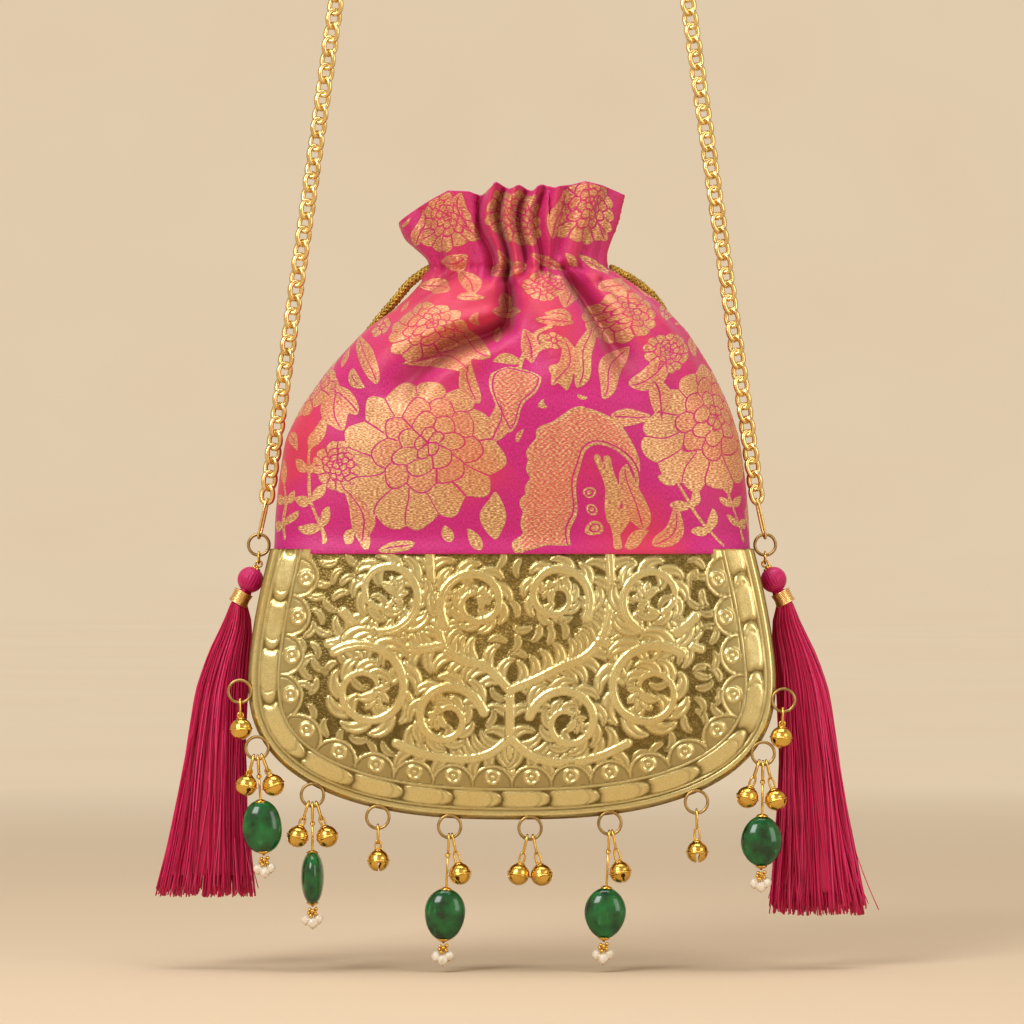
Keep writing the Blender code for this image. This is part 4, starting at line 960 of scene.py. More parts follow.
class Brocade:
    """The woven pattern as distance fields over the cloth: motifs, and two sets of lines in them."""

    def __init__(self, points, places, levels):
        self.points, self.places, self.levels = points, places, levels
        flat = places.reshape(-1, 3)
        s, t, self.panel = flat[:, 0], flat[:, 1], flat[:, 2]
        self.s = s + 1.3 * np.sin(t / 7.1 + s / 19.0) + 0.7 * np.sin(t / 2.9 + s / 4.3)
        self.t = t + 1.3 * np.sin(s / 8.3 + 1.0) + 0.7 * np.sin(s / 3.1 + t / 5.7)
        self.shape, self.line_a, self.line_b = (np.full(len(flat), FAR) for _ in range(3))
        self.salmon = np.zeros(len(flat))

    def spot(self, x, z):
        """Place on the cloth of a place across and up on the front."""
        row = int(np.abs(self.levels[:, 0] - z).argmin())
        columns = self.points.shape[1]
        front = np.r_[0:columns // 4, 3 * columns // 4:columns]
        column = front[np.abs(self.points[row, front, 0] - x).argmin()]
        return self.places[row, column, :2]

    def near(self, place, reach, panel):
        return np.flatnonzero((np.abs(self.s - place[0]) < reach) & (np.abs(self.t - place[1]) < reach)
                              & (self.panel == panel))

    def local(self, at, place, angle=0.0):
        x, y = self.s[at] - place[0], self.t[at] - place[1]
        return x * math.cos(angle) + y * math.sin(angle), y * math.cos(angle) - x * math.sin(angle)

    def fill(self, at, distance):
        self.shape[at] = np.minimum(self.shape[at], distance)

    def dye(self, at, amount):
        """Salmon weave instead of gold, by an amount from 0 to 1."""
        self.salmon[at] = np.maximum(self.salmon[at], amount)

    def draw(self, lines, at, signed, outside):
        """A thin line where the signed distance is 0, kept inside its motif."""
        value = signed * (1 + 20 * np.maximum(outside, 0))
        field = getattr(self, lines)
        nearer = (outside < 2.5) & (np.abs(value) < np.abs(field[at]))
        field[at] = np.where(nearer, value, field[at])

    def leaf(self, place, angle, length, width, panel=0, bend=0.0, vein=True, salmon=0.0):
        """A pointed leaf from its foot, heading up the cloth at angle 0."""
        at = self.near(place, length * 1.3 + 2, panel)
        x, y = self.local(at, place, angle)
        share = np.clip(y / length, 0, 1)
        half = width / 2 * np.sin(np.pi * share ** 0.85) ** 0.75
        x = x - bend * 4 * share * (1 - share)
        distance = np.maximum(np.abs(x) - half, np.maximum(-y, y - length))
        self.fill(at, distance)
        if salmon:
            self.dye(at, np.clip(-distance, 0, 1) * salmon)
        if vein:
            self.draw("line_a", at, x, distance + 1.1)

    def disc(self, place, radius, panel=0, ring=0.0):
        at = self.near(place, radius + 3, panel)
        x, y = self.local(at, place)
        distance = np.hypot(x, y) - radius
        self.fill(at, distance)
        if ring:
            self.draw("line_b", at, distance + radius * (1 - ring), distance - 0.5)

    def stroke(self, path, width, panel=0):
        """A stem along places on the cloth."""
        path = np.asarray(path, float)
        for a, b in zip(path, path[1:]):
            at = self.near((a + b) / 2, np.abs(b - a).max() / 2 + width + 3, panel)
            x, y = self.s[at] - a[0], self.t[at] - a[1]
            run = b - a
            share = np.clip((x * run[0] + y * run[1]) / max(run @ run, 1e-9), 0, 1)
            self.fill(at, np.hypot(x - share * run[0], y - share * run[1]) - width / 2)

    def rosette(self, place, radius, petals, panel=0, turn=0.0):
        """A small flower with an eye."""
        at = self.near(place, radius + 3, panel)
        x, y = self.local(at, place)
        reach, angle = np.hypot(x, y), np.arctan2(y, x) + turn
        edge = radius * (0.84 + 0.16 * np.abs(np.sin(petals * angle / 2)))
        self.fill(at, reach - edge)
        self.draw("line_a", at, reach * np.sin(petals * angle / 2) * 2 / petals,
                  np.maximum(radius * 0.38 - reach, reach - edge))
        self.draw("line_b", at, reach - radius * 0.34, reach - radius)

    def peony(self, place, radius, panel=0, turn=0.3, squash=0.95):
        """A many-petalled round flower."""
        at = self.near(place, radius + 5, panel)
        x, y = self.local(at, place)
        y = y / squash
        reach, angle = np.hypot(x, y), np.arctan2(y, x) + turn
        wobble = 0.035 * np.sin(3 * angle + 1)
        edge = radius * (0.88 + 0.12 * np.abs(np.sin(6.5 * angle)) ** 0.8 + wobble)
        self.fill(at, reach - edge)
        core_x, core_y = x - 0.1 * radius, y - 0.12 * radius
        core_reach, core_angle = np.hypot(core_x, core_y), np.arctan2(core_y, core_x) + turn
        # Three rings of petals round the core: petals, turn, reach and scallop; then the outer ring
        rounds = ((2.5, 0.0, 0.14, 0.05), (3.5, 0.5, 0.32, 0.1), (4.5, 1.1, 0.53, 0.12))
        waves = [np.sin(petals * core_angle + lead) for petals, lead, _, _ in rounds]
        bands = np.stack([radius * (size + scallop * np.abs(wave)) - core_reach
                          for wave, (_, _, size, scallop) in zip(waves, rounds)])
        index = (bands < 0).sum(0)
        rings = np.abs(bands).min(0) * np.where(index % 2, 1.0, -1.0)
        self.draw("line_b", at, rings, reach - radius * 0.8)
        petals = [core_reach * wave / row[0] for wave, row in zip(waves, rounds)]
        petals.append(reach * np.sin(6.5 * angle) / 6.5)
        inside = np.maximum(reach - edge, 1.4 - reach)
        for zone in (3, 2, 1, 0):
            self.draw("line_a", at, petals[zone], np.where(index == zone, inside, FAR))
        self.dye(at, np.where(index == 2, 0.6, 0.15) * np.clip((edge - reach) / 2, 0, 1))

    def bud(self, place, length, width, panel=0, angle=0.0):
        """A leaf-shaped bud with a gold outline, pointing down from its place."""
        at = self.near(place, length + 3, panel)
        x, y = self.local(at, place, angle)
        share = np.clip(-y / length, 0, 1)
        half = width / 2 * np.sqrt(np.clip(share * 7, 0, 1)) * (1 - share ** 1.5) ** 0.8
        distance = np.maximum(np.abs(x) - half, np.maximum(y, -y - length))
        self.fill(at, distance)
        self.draw("line_b", at, distance + 1.3, distance - 0.2)
        self.dye(at, np.clip((-distance - 1.2) * 2, 0, 1))

    def paisley(self, place, panel=0, mirror=1):
        """The large curled mango motif with an arch of dots and shoots inside it."""
        at = self.near(place, 44, panel)
        x, y = self.local(at, place)
        x = x * mirror
        body = np.hypot(x, (y - 8) / 0.98) - 22.5
        skirt = np.maximum(np.abs(x + 9.5) - 13.0, np.maximum(y - 8, -y - 22))
        scallop = 1.4 * np.abs(np.sin(np.pi * (y + 22) / 7.0))
        body = np.minimum(body, skirt) - np.where(x < 0, scallop - 0.7, 0.0)
        arch = np.maximum(np.hypot(x - 9.0, np.maximum(y - 3.0, 0)) - 12.3, -3.5 - x)
        right = np.hypot(x - 22, y + 8) - 8.5
        body = np.maximum.reduce([body, -arch, -right, -y - 22])
        self.fill(at, body)
        self.draw("line_b", at, arch - 1.6, np.maximum(body, 0.0))
        self.dye(at, np.clip((-body - 0.8) * 2, 0, 1))
        self.fill(at, np.hypot(x - 20.5, y + 2.0) - 2.4)
        for dx, dy, size in ((1.6, -2.0, 2.3), (2.6, -9.0, 2.4), (4.2, -16.5, 3.1)):
            self.disc(place + np.array((mirror * dx, dy)), size, panel, 0.55)
        shoots = (((6.5, 10.0), (10.0, -12.0)), ((10.6, 10.0), (11.5, -12.0)),
                  ((10.8, -12.0), (13.5, -22.0)))
        for shoot in shoots:
            self.stroke(place + np.array(shoot) * (mirror, 1), 3.0, panel)
        self.leaf(place + np.array((mirror * 13.0, -17.0)), -mirror * 0.35, 15, 5.5, panel, vein=False)
        self.leaf(place + np.array((mirror * 16.0, -22.0)), -mirror * 0.9, 11, 5, panel, vein=False)

    def sprig(self, path, panel, size):
        """A stem with pairs of leaflets."""
        path = np.asarray(path, float)
        route = smooth_route(np.c_[path, np.zeros(len(path))], 6)[:, :2]
        self.stroke(route, 1.3, panel)
        for i in range(3, len(route) - 1, 5):
            run = route[i + 1] - route[i - 1]
            heading = math.atan2(-run[0], run[1])
            for way in (-1, 1):
                foot = route[i] + unit(np.array((run[1], -run[0]))) * way * 0.9
                self.leaf(foot, heading - way * 0.85, size, size * 0.52, panel, vein=False)
        run = route[-1] - route[-3]
        self.leaf(route[-1], math.atan2(-run[0], run[1]), size * 1.5, size * 0.75, panel, vein=False)

    def scatter(self, low, high, count, panel, sizes, rosettes):
        """Leaves, shoots and small flowers in what is still bare ground."""
        for _ in range(count):
            t = RANDOM.uniform(low, high)
            row = int(np.abs(self.places[:, 0, 1] - t).argmin())
            half = np.abs(self.places[row, :, 0]).max()
            place = np.array((RANDOM.uniform(-half, half), t))
            kind = RANDOM.uniform()
            angle = RANDOM.uniform(-np.pi, np.pi)
            size = RANDOM.uniform(*sizes)
            at = self.near(place, 2.2, panel)
            if not len(at) or self.shape[at].min() < 1.7:
                continue
            if kind < rosettes:
                at = self.near(place, 5.0, panel)
                if self.shape[at].min() > 1.5:
                    self.rosette(place, RANDOM.uniform(3.6, 5.0), 6, panel, angle)
                continue
            tip = place + size * np.array((-math.sin(angle), math.cos(angle)))
            at = self.near(tip, 2.2, panel)
            if len(at) and self.shape[at].min() > 0.7:
                self.leaf(place, angle, size, size * RANDOM.uniform(0.36, 0.5), panel,
                          bend=RANDOM.uniform(-1.8, 1.8), salmon=float(RANDOM.uniform() < 0.3))


# Flowers of the upper cloth: across, up, radius and turn
UPPER_FLOWERS = (
    (-34.0, 84.0, 15.0, 0.2), (42.0, 88.0, 14.0, 0.9), (-26.0, 124.0, 12.5, 0.4),
    (2.0, 126.0, 11.0, 1.3), (29.0, 126.0, 13.0, 0.7), (-66.0, 30.0, 10.0, 0.8),
    (60.0, 76.0, 10.0, 0.1), (12.0, 101.0, 8.0, 0.5),
)
# Sprigs: the leaflets' length, and places across and up
SPRIGS = (
    (8.0, ((80.0, 1.0), (70.5, 12.0), (64.0, 24.0), (61.0, 33.0))),
    (6.5, ((88.0, 2.0), (86.0, 12.0), (84.0, 20.0))),
    (8.0, ((-72.0, 2.0), (-76.0, 12.0), (-78.0, 26.0), (-75.0, 38.0))),
    (7.0, ((-86.0, 4.0), (-87.5, 14.0), (-87.5, 26.0))),
)
# Large leaves: across, up, heading from straight up, length, width and bend
LARGE_LEAVES = (
    (-14.0, 66.0, 70.0, 26.0, 10.0, 3.0), (-10.0, 72.0, 40.0, 24.0, 9.0, -3.0),
    (-20.0, 74.0, 100.0, 20.0, 8.0, 2.0), (15.0, 62.0, -8.0, 22.0, 8.5, 2.5),
    (34.0, 56.0, -25.0, 26.0, 10.0, -3.0), (44.0, 62.0, -50.0, 22.0, 9.0, 2.0),
    (38.0, 50.0, -80.0, 14.0, 7.0, 2.0), (50.0, 8.0, 12.0, 26.0, 10.0, -2.5),
    (54.0, 2.0, -30.0, 18.0, 8.0, 2.0), (-57.0, 3.0, 20.0, 22.0, 9.0, 2.5),
    (-64.0, 44.0, 20.0, 24.0, 10.0, -3.0), (-52.0, 64.0, 35.0, 24.0, 9.5, 3.0),
    (-60.0, 52.0, 60.0, 18.0, 8.0, 2.0), (56.0, 50.0, 20.0, 18.0, 8.0, 2.0),
    (-8.0, 40.0, -10.0, 20.0, 8.0, 2.0), (-12.0, 54.0, 15.0, 18.0, 8.0, -2.0),
    (22.0, 92.0, 10.0, 18.0, 8.0, 2.0), (-12.0, 96.0, 30.0, 16.0, 7.0, 2.0),
    (-42.0, 118.0, -20.0, 18.0, 8.0, 2.0), (-14.0, 118.0, 12.0, 18.0, 8.0, -2.0),
    (16.0, 118.0, -15.0, 18.0, 8.0, 2.0), (40.0, 116.0, 15.0, 18.0, 8.0, -2.0),
    (-22.0, 98.0, 75.0, 18.0, 8.0, 2.0), (32.0, 98.0, -60.0, 16.0, 7.5, 2.0),
)


def weave_pattern(points, places, levels):
    """The brocade's pattern, as on the photograph's front; the back is its mirror image."""
    cloth = Brocade(points, places, levels)
    for panel, mirror in ((0, 1), (1, -1)):
        def spot(x, z):
            return cloth.spot(x, z) * (mirror, 1)
        cloth.peony(spot(-36.0, 36.0), 31.0, panel)
        cloth.peony(spot(75.0, 46.0), 27.0, panel, 1.1)
        cloth.peony(spot(-82.0, 63.0), 15.0, panel, 0.5)
        cloth.paisley(spot(27.0, 23.0), panel, mirror)
        cloth.bud(spot(2.0, 70.0), 26.0, 19.5, panel)
        cloth.stroke([spot(2.4, 70.0), spot(4.4, 76.0), spot(9.0, 82.0), spot(16.0, 85.0)], 1.8, panel)
        cloth.leaf(spot(3.0, 72.5), mirror * 1.75, 12.0, 5.0, panel, 0.8, False)
        cloth.leaf(spot(7.0, 76.0), -mirror * 1.5, 17.0, 4.6, panel, -3.0, False)
        cloth.leaf(spot(13.0, 70.0), -mirror * 2.5, 15.0, 5.2, panel, -1.6, False)
        cloth.leaf(spot(24.0, 60.0), -mirror * 0.2, 30.0, 8.0, panel, -2.0, True)
        cloth.rosette(spot(16.5, 79.5), 4.2, 6, panel)
        cloth.disc(spot(11.5, 80.5), 2.2, panel)
        cloth.leaf(spot(-6.0, 3.0), 0.0, 20.0, 9.0, panel, 0.0, False)
        cloth.leaf(spot(-13.0, -1.0), 0.5, 9.0, 5.0, panel, 0.0, False)
        cloth.leaf(spot(1.5, -1.0), -0.5, 9.0, 5.0, panel, 0.0, False)
        for size, path in SPRIGS:
            cloth.sprig([spot(x, z) for x, z in path], panel, size)
        for x in np.arange(-88, 90, 8.0):
            place = spot(float(x), 0.5)
            at = cloth.near(place + np.array((0, 5.0)), 2.0, panel)
            if len(at) and cloth.shape[at].min() > 2.0:
                cloth.leaf(place, 0.35 * math.sin(x), 7.5, 4.4, panel, 0.0, False)
        for x, z, radius, turn in UPPER_FLOWERS:
            cloth.peony(spot(x, z), radius, panel, turn)
        for x, z, heading, length, width, bend in LARGE_LEAVES:
            cloth.leaf(spot(x, z), mirror * math.radians(heading), length, width, panel,
                       mirror * bend, True, 0.6)
        cloth.scatter(4, 84, 1500, panel, (8.0, 14.0), 0.08)
        cloth.scatter(84, 190, 2600, panel, (9.0, 17.0), 0.12)
        cloth.scatter(4, 190, 4000, panel, (5.0, 7.0), 0.0)
    return cloth


def make_brocade():
    """Magenta silk with raised gold and salmon weave."""
    look = Look("brocade", Sheen_Weight=0.25, Sheen_Roughness=0.4, Specular_IOR_Level=0.5)
    place = look.vector("cloth")
    split = look.node("SeparateXYZ", {0: place})
    s, t = split.outputs[0], split.outputs[1]
    threads = look.noise(1.0, place, 2.0, (0.85, 2.6, 1.0))
    twill = look.noise(1.0, place, 1.0, (2.2, 0.9, 1.0))
    edge = look.math("MULTIPLY_ADD", look.math("SUBTRACT", threads, 0.5), 0.7, look.field("shape"))
    gold = look.span(edge, 0.1, -0.1)
    line_a = look.span(look.math("ABSOLUTE", look.field("line_a")), 0.2, 0.36)
    line_b = look.span(look.math("ABSOLUTE", look.field("line_b")), 0.24, 0.4)
    gold = look.math("MULTIPLY", gold, look.math("MULTIPLY", line_a, line_b))
    ridge = look.math("PINGPONG", s, 3.6)
    chevron = look.math("FRACT", look.math("MULTIPLY", look.math("ADD", t, ridge), 0.45))
    stripes = look.span(look.math("PINGPONG", chevron, 0.5), 0.14, 0.34)
    salmon = look.math("MULTIPLY", look.field("salmon"), look.span(stripes, 0.0, 1.0, 0.95, 0.35))
    # Orange tint from broad noise and from the pouch's field, which also carries painted sheen at its
    # sides and on fold ridges
    broad = look.noise(16.0, detail=2.0)
    warm_tint_and_sheen = look.math("ADD", look.span(broad, 0.48, 0.62),
                     look.math("MULTIPLY", look.field("warm_tint_and_sheen"), 0.8), clamp=True)
    thread_light = look.span(threads, 0.5, 0.62)
    thread_dark = look.span(threads, 0.49, 0.36)
    zari = look.mix(thread_light, rgb(203, 152, 96), rgb(250, 222, 165))
    zari = look.mix(look.math("MULTIPLY", thread_dark, 0.85), zari, rgb(170, 78, 78))
    rose = look.mix(thread_light, rgb(212, 92, 98), rgb(240, 170, 130))
    zari = look.mix(salmon, zari, rose)
    zari = look.mix(look.math("MULTIPLY", warm_tint_and_sheen, 0.38), zari, rgb(232, 110, 84))
    silk = look.mix(look.span(twill, 0.35, 0.65), rgb(186, 8, 108), rgb(214, 28, 134))
    silk = look.mix(look.math("MULTIPLY", warm_tint_and_sheen, 0.7), silk, rgb(222, 58, 70))
    # Painted shade: silk and gold are darkened in the fold valleys
    valley_shade = look.span(look.field("fold"), -1.0, -5.5)
    silk = look.mix(look.math("MULTIPLY", valley_shade, 0.85), silk, rgb(160, 8, 62))
    zari = look.mix(look.math("MULTIPLY", valley_shade, 0.55), zari, rgb(150, 52, 48))
    base = look.mix(gold, silk, zari)
    relief = look.math("ADD", look.math("MULTIPLY", threads, 0.5), look.math("MULTIPLY", gold, 0.45))
    striped = look.math("MULTIPLY", stripes, look.field("salmon"))
    relief = look.math("ADD", relief, look.math("MULTIPLY", striped, 0.3))
    return look.set(Base_Color=base, Metallic=look.math("MULTIPLY", gold, 0.3),
                    Roughness=look.span(gold, 0.0, 1.0, 0.5, 0.4),
                    Normal=look.bump(relief, 0.7, 0.00045))


def make_lining_cloth():
    """Plain cotton lining with a fine weave."""
    look = Look("lining_cloth", Roughness=0.9, Sheen_Weight=0.2)
    warp = look.noise(2600.0, detail=1.0, stretch=(1.0, 1.0, 0.3))
    weft = look.noise(2600.0, detail=1.0, stretch=(0.3, 0.3, 1.0))
    both = look.math("MULTIPLY", warp, weft)
    return look.set(Base_Color=look.mix(look.span(both, 0.15, 0.35), rgb(132, 20, 66), rgb(176, 36, 96)),
                    Normal=look.bump(both, 0.5, 0.0002))


BROCADE = make_brocade()
LINING_CLOTH = make_lining_cloth()


def make_pouch():
    """The gathered pouch, its lined inner side and its rolled edges."""
    points, places, folds, levels = cloth_grid(CLOTH_COLUMNS, CLOTH_ROWS)
    cloth = weave_pattern(points, places, levels)
    x, z = points[..., 0], points[..., 2]
    # Painted sheen: orange towards the pouch's far left and right and on the fold ridges high up; the
    # tint also grows towards the top and in a patch left of the middle
    warm_tint_and_sheen = np.clip((np.abs(x) - 58) / 34, 0, 1) * np.clip((z - 8) / 30, 0, 1)
    warm_tint_and_sheen = warm_tint_and_sheen + np.clip(folds / 5, 0, 0.9) * (z > 60) + 0.35 * np.clip((z - 62) / 25, 0, 1)
    warm_tint_and_sheen = warm_tint_and_sheen + 0.8 * np.exp(-((x + 28) / 16) ** 2 - ((z - 52) / 12) ** 2)
    outer = Shape().add((points.reshape(-1, 3), grid_faces(CLOTH_ROWS, CLOTH_COLUMNS)))
    pouch = outer.piece(
        "pouch_cloth", [BROCADE], "bag", "brocade", ["pouch"],
        {"shape": cloth.shape, "line_a": cloth.line_a, "line_b": cloth.line_b, "salmon": cloth.salmon,
         "fold": folds, "warm_tint_and_sheen": warm_tint_and_sheen},
        {"cloth": places * (1, 1, 0)})
    round_way = np.roll(points, -1, 1) - np.roll(points, 1, 1)
    out = unit(np.cross(round_way, np.gradient(points, axis=0)))
    skin = (points - out * CLOTH_THICKNESS)[::2, ::2]
    inner = Shape().add((skin.reshape(-1, 3), [f[::-1] for f in grid_faces(*skin.shape[:2])]))
    inside = inner.piece("pouch_inside", [LINING_CLOTH], "bag", "brocade")
    hems = Shape()
    for row in (0, -1):
        hems.add(sweep(points[row, ::2] - out[row, ::2] * 0.45, 0.5, 6, closed=True, across=(0, 0, 1)))
    plain = {"shape": FAR, "line_a": FAR, "line_b": FAR, "salmon": 0.0, "fold": 0.0, "warm_tint_and_sheen": 0.3}
    hem = hems.piece("pouch_hems", [BROCADE], "bag", "brocade", (),
                     {field: np.full(hems.count, value) for field, value in plain.items()},
                     {"cloth": np.concatenate(hems.verts)[:, [0, 2, 1]]})


make_pouch()


LINING_TOP_Z = -1.0
LINING_FLOOR_Z = -97.0
LINING_LEVELS = 26
LINING_COLUMNS = 120
LINING_SIDE_GAP = 1.8
LINING_PLATE_GAP = 3.2


def make_lining():
    """The cloth sack inside the metal base."""
    turn = 2 * np.pi * np.arange(LINING_COLUMNS) / LINING_COLUMNS
    rows = []
    for z in np.linspace(LINING_TOP_Z, LINING_FLOOR_Z, LINING_LEVELS):
        half = min(float(base_half_width(z)), float(base_half_width(z - 3.0))) - LINING_SIDE_GAP
        x = half * fuller(np.cos(turn), 0.75)
        level = np.full_like(x, z)
        y = (PLATE_RIM_Y + dome(x, level) - LINING_PLATE_GAP) * fuller(np.sin(turn), 0.6)
        y += 0.25 * np.sin(x / 3.1 + z / 9.0)
        rows.append(np.stack([x, y, level], -1))
    rows = np.array(rows)
    # The grid with its floor, once as the outside and once as the inside, joined at the mouth
    faces = tube_faces(LINING_LEVELS, LINING_COLUMNS)
    faces.pop(-2)
    inner = rows * (0.995, 0.97, 1.0) + (0, 0, 0.3)
    start = LINING_LEVELS * LINING_COLUMNS
    closed = [f[::-1] for f in faces] + [[i + start for i in f] for f in faces]
    for k in range(LINING_COLUMNS):
        j = (k + 1) % LINING_COLUMNS
        closed.append([k, j, start + j, start + k])
    shape = Shape().add((np.concatenate([rows.reshape(-1, 3), inner.reshape(-1, 3)]), closed))
    sack = shape.piece("lining_sack", [LINING_CLOTH], "bag", "lining_cloth", ["lining"])


make_lining()

# Rings, links and chain

SIDE_RING_X = 97.2
SIDE_RING_Z = 1.5
SIDE_RING_RADIUS = 4.0
EDGE_RING_RADIUS = 4.3
EDGE_RING_Y = -15.4
EDGE_RING_OUT = 3.4
EDGE_RING_WIRE = 0.6
RING_WIRE = 0.62
CONNECTOR_LOW_Z = 4.05
CHAIN_FOOT_X = 93.9
CONNECTOR_LENGTH = 15.4
CONNECTOR_HALF_WIDTH = 2.0
CONNECTOR_WIRE = 0.55
CONNECTOR_TURN = math.radians(12)
CHAIN_SHOULDER = (62.0, 250.0)
CHAIN_TOP_Z = 295.0
CHAIN_PITCH = 5.24
CHAIN_TOP_LINKS = 33
CHAIN_TWIST = math.radians(27)
CHAIN_HALF_WIDTH = 2.45
CHAIN_HALF_LENGTH = 3.35
CHAIN_WIRE = 1.0
LINK_FULLNESS = 0.55


def connector_ends(side):
    """Middles of the long link's lower and upper bends."""
    low = np.array((side * SIDE_RING_X, 0.0, CONNECTOR_LOW_Z))
    lean = SIDE_RING_X - CHAIN_FOOT_X
    rise = math.sqrt(CONNECTOR_LENGTH ** 2 - lean ** 2)
    return low, np.array((side * CHAIN_FOOT_X, 0.0, CONNECTOR_LOW_Z + rise))


def chain_places():
    """Centre of each chain link from the left foot over the top to the right."""
    _, high = connector_ends(1)
    foot = np.array((high[0], 0.0, high[2] - 1.45 + (CHAIN_PITCH + 1.2) / 2))
    turn = np.linspace(np.pi / 2, 0, 200, endpoint=False)
    across, up = CHAIN_SHOULDER
    arch = np.stack([across * np.cos(turn), 0 * turn, up + (CHAIN_TOP_Z - up) * np.sin(turn)], -1)
    share = np.linspace(0, 1, 201)[:, None]
    route = np.concatenate([arch, np.array((across, 0.0, up)) * (1 - share) + foot * share])
    way = way_along(route)
    half = read_off(np.linspace(0, way[-1], round(way[-1] / CHAIN_PITCH) + 1), way, route)
    return np.concatenate([(half * (-1, 1, 1))[:0:-1], half])


def make_chain():
    """Twisted curb links, in the three runs that the solids have."""
    places = chain_places()
    count = len(places)
    side_links = (count - CHAIN_TOP_LINKS) // 2
    runs = (("chain_left", 0, side_links), ("chain_top", side_links, count - side_links),
            ("chain_right", count - side_links, count))
    for name, start, end in runs:
        shape = Shape()
        for i in range(start, end):
            run = unit(places[min(i + 1, count - 1)] - places[max(i - 1, 0)])
            level = np.cross((0, 1, 0), run)
            turn = CHAIN_TWIST if i % 2 else -CHAIN_TWIST
            across = level * math.cos(turn) + np.cross(run, level) * math.sin(turn)
            shape.add(oval(places[i], across, run, CHAIN_HALF_WIDTH, CHAIN_HALF_LENGTH, CHAIN_WIRE,
                           22, 7, fullness=0.85, curl=0.25))
        shape.piece(name + "_links", [GILT], "chain", "gilt_chain", [name])


def make_side_fittings():
    """Side rings, and the long links that join them to the chain."""
    for word, side in (("left", -1), ("right", 1)):
        ring = round_ring((side * SIDE_RING_X, 0.0, SIDE_RING_Z), SIDE_RING_RADIUS, RING_WIRE, 48, 10)
        Shape().add(ring).piece("side_ring_%s_wire" % word, [ANTIQUE], "bag", "antique_brass",
                                ["side_ring_" + word])
        low, high = connector_ends(side)
        along = unit(high - low)
        turn = side * CONNECTOR_TURN
        across = np.array((0, 1, 0)) * math.cos(turn) + np.cross(along, (0, 1, 0)) * math.sin(turn)
        link = oval((low + high) / 2, across, along, CONNECTOR_HALF_WIDTH, CONNECTOR_LENGTH / 2,
                    CONNECTOR_WIRE, 44, 8, LINK_FULLNESS)
        Shape().add(link).piece("connector_%s_wire" % word, [GILT], "chain", "gilt_chain",
                                ["connector_link_" + word])


make_chain()
make_side_fittings()

# Bells and beads

BELL_RADIUS = 4.2
BELL_WALL = 0.6
BEAD_HALF = (7.75, 4.5, 10.0)
CHARM_WIRE = 0.5
CHARM_LINK = (1.7, 7.0)
CHARM_BEND = 1.4
# As in the solids: side, degrees, bells from the ring's centre, bead and its quarter turns
EDGE_RINGS = (
    (-1, 3.0, ((0.4, -14.3),), None), (-1, 22.5, ((-4.2, -14.2), (6.2, -14.2)), (1.9, -30.0, 0)),
    (-1, 46.5, ((-5.6, -15.8), (5.6, -15.8)), (0.0, -31.5, 1)), (-1, 65.0, ((0.2, -16.5),), None),
    (-1, 80.6, ((4.0, -18.0),), (-1.8, -33.5, 0)), (1, 88.0, ((-4.4, -17.6), (4.4, -17.9)), None),
    (1, 73.4, ((4.0, -18.6),), (-1.8, -34.2, 0)), (1, 51.3, ((0.3, -19.0),), None),
    (1, 24.8, ((-6.0, -16.7), (4.8, -17.6)), (-0.6, -33.4, 0)), (1, 5.5, ((-0.8, -14.2),), None),
)
# Way each bell's slot faces, in degrees from the front
BELL_TURNS = (60, 25, 95, 110, -75, 8, -20, 100, 70, 12, 0, -80, 60, -50)


def bell_template():
    """A two-part jingle bell about its centre, with a keyhole slot in its lower half."""
    seam_rows = [84, 86.5, 88, 92, 93.5, 96]
    drop = np.radians(np.concatenate([np.arange(6, 84, 6), seam_rows, np.arange(102, 180, 6)]))
    reach = np.full_like(drop, BELL_RADIUS)
    seam = np.abs(np.degrees(drop) - 90)
    reach = reach + np.where(seam < 3, 0.34, 0.0) + np.where((seam > 3) & (seam < 5), 0.2, 0.0)
    profile = np.stack([reach * np.sin(drop), reach * np.cos(drop)], -1)
    verts, faces = lathe(profile, 40, capped=True)
    mesh = bpy.data.meshes.new("bell_template")
    mesh.from_pydata(verts, [], faces)
    body = bpy.data.objects.new("bell_template", mesh)
    slit = Matrix.Translation((0, 0, -4.0)) @ Matrix.Diagonal((0.75, 12.0, 5.6, 1))
    lie = Matrix.Translation((0, 0, -1.3)) @ Matrix.Rotation(math.radians(90), 4, "X")
    cutters = (
        ("bell_core", bmesh.ops.create_uvsphere,
         {"u_segments": 20, "v_segments": 12, "radius": BELL_RADIUS - BELL_WALL}),
        ("bell_cutter", bmesh.ops.create_cube, {"size": 1, "matrix": slit}),
        ("bell_hole", bmesh.ops.create_cone,
         {"cap_ends": True, "segments": 14, "radius1": 0.85, "radius2": 0.85, "depth": 12,
          "matrix": lie}),
    )
    for name, create, settings in cutters:
        cutter = bmesh.new()
        create(cutter, **settings)
        data = bpy.data.meshes.new(name)
        cutter.to_mesh(data)
        cutter.free()
        tool = add_object(name, data)
        tool.hide_render = True
        step = body.modifiers.new(name, "BOOLEAN")
        step.operation = "DIFFERENCE"
        step.object = tool
        step.solver = "EXACT"
    bpy.context.scene.collection.objects.link(body)
    bpy.context.view_layer.update()
    result = body.evaluated_get(bpy.context.evaluated_depsgraph_get()).to_mesh()
    verts = np.array([v.co[:] for v in result.vertices])
    faces = [list(p.vertices) for p in result.polygons]
    for step in list(body.modifiers):
        bpy.data.objects.remove(step.object)
    bpy.data.objects.remove(body)
    return verts, faces


def spin_z(degrees):
    """3 x 3 matrix of a turn about Z."""
    cosine, sine = math.cos(math.radians(degrees)), math.sin(math.radians(degrees))
    return np.array(((cosine, -sine, 0), (sine, cosine, 0), (0, 0, 1)))


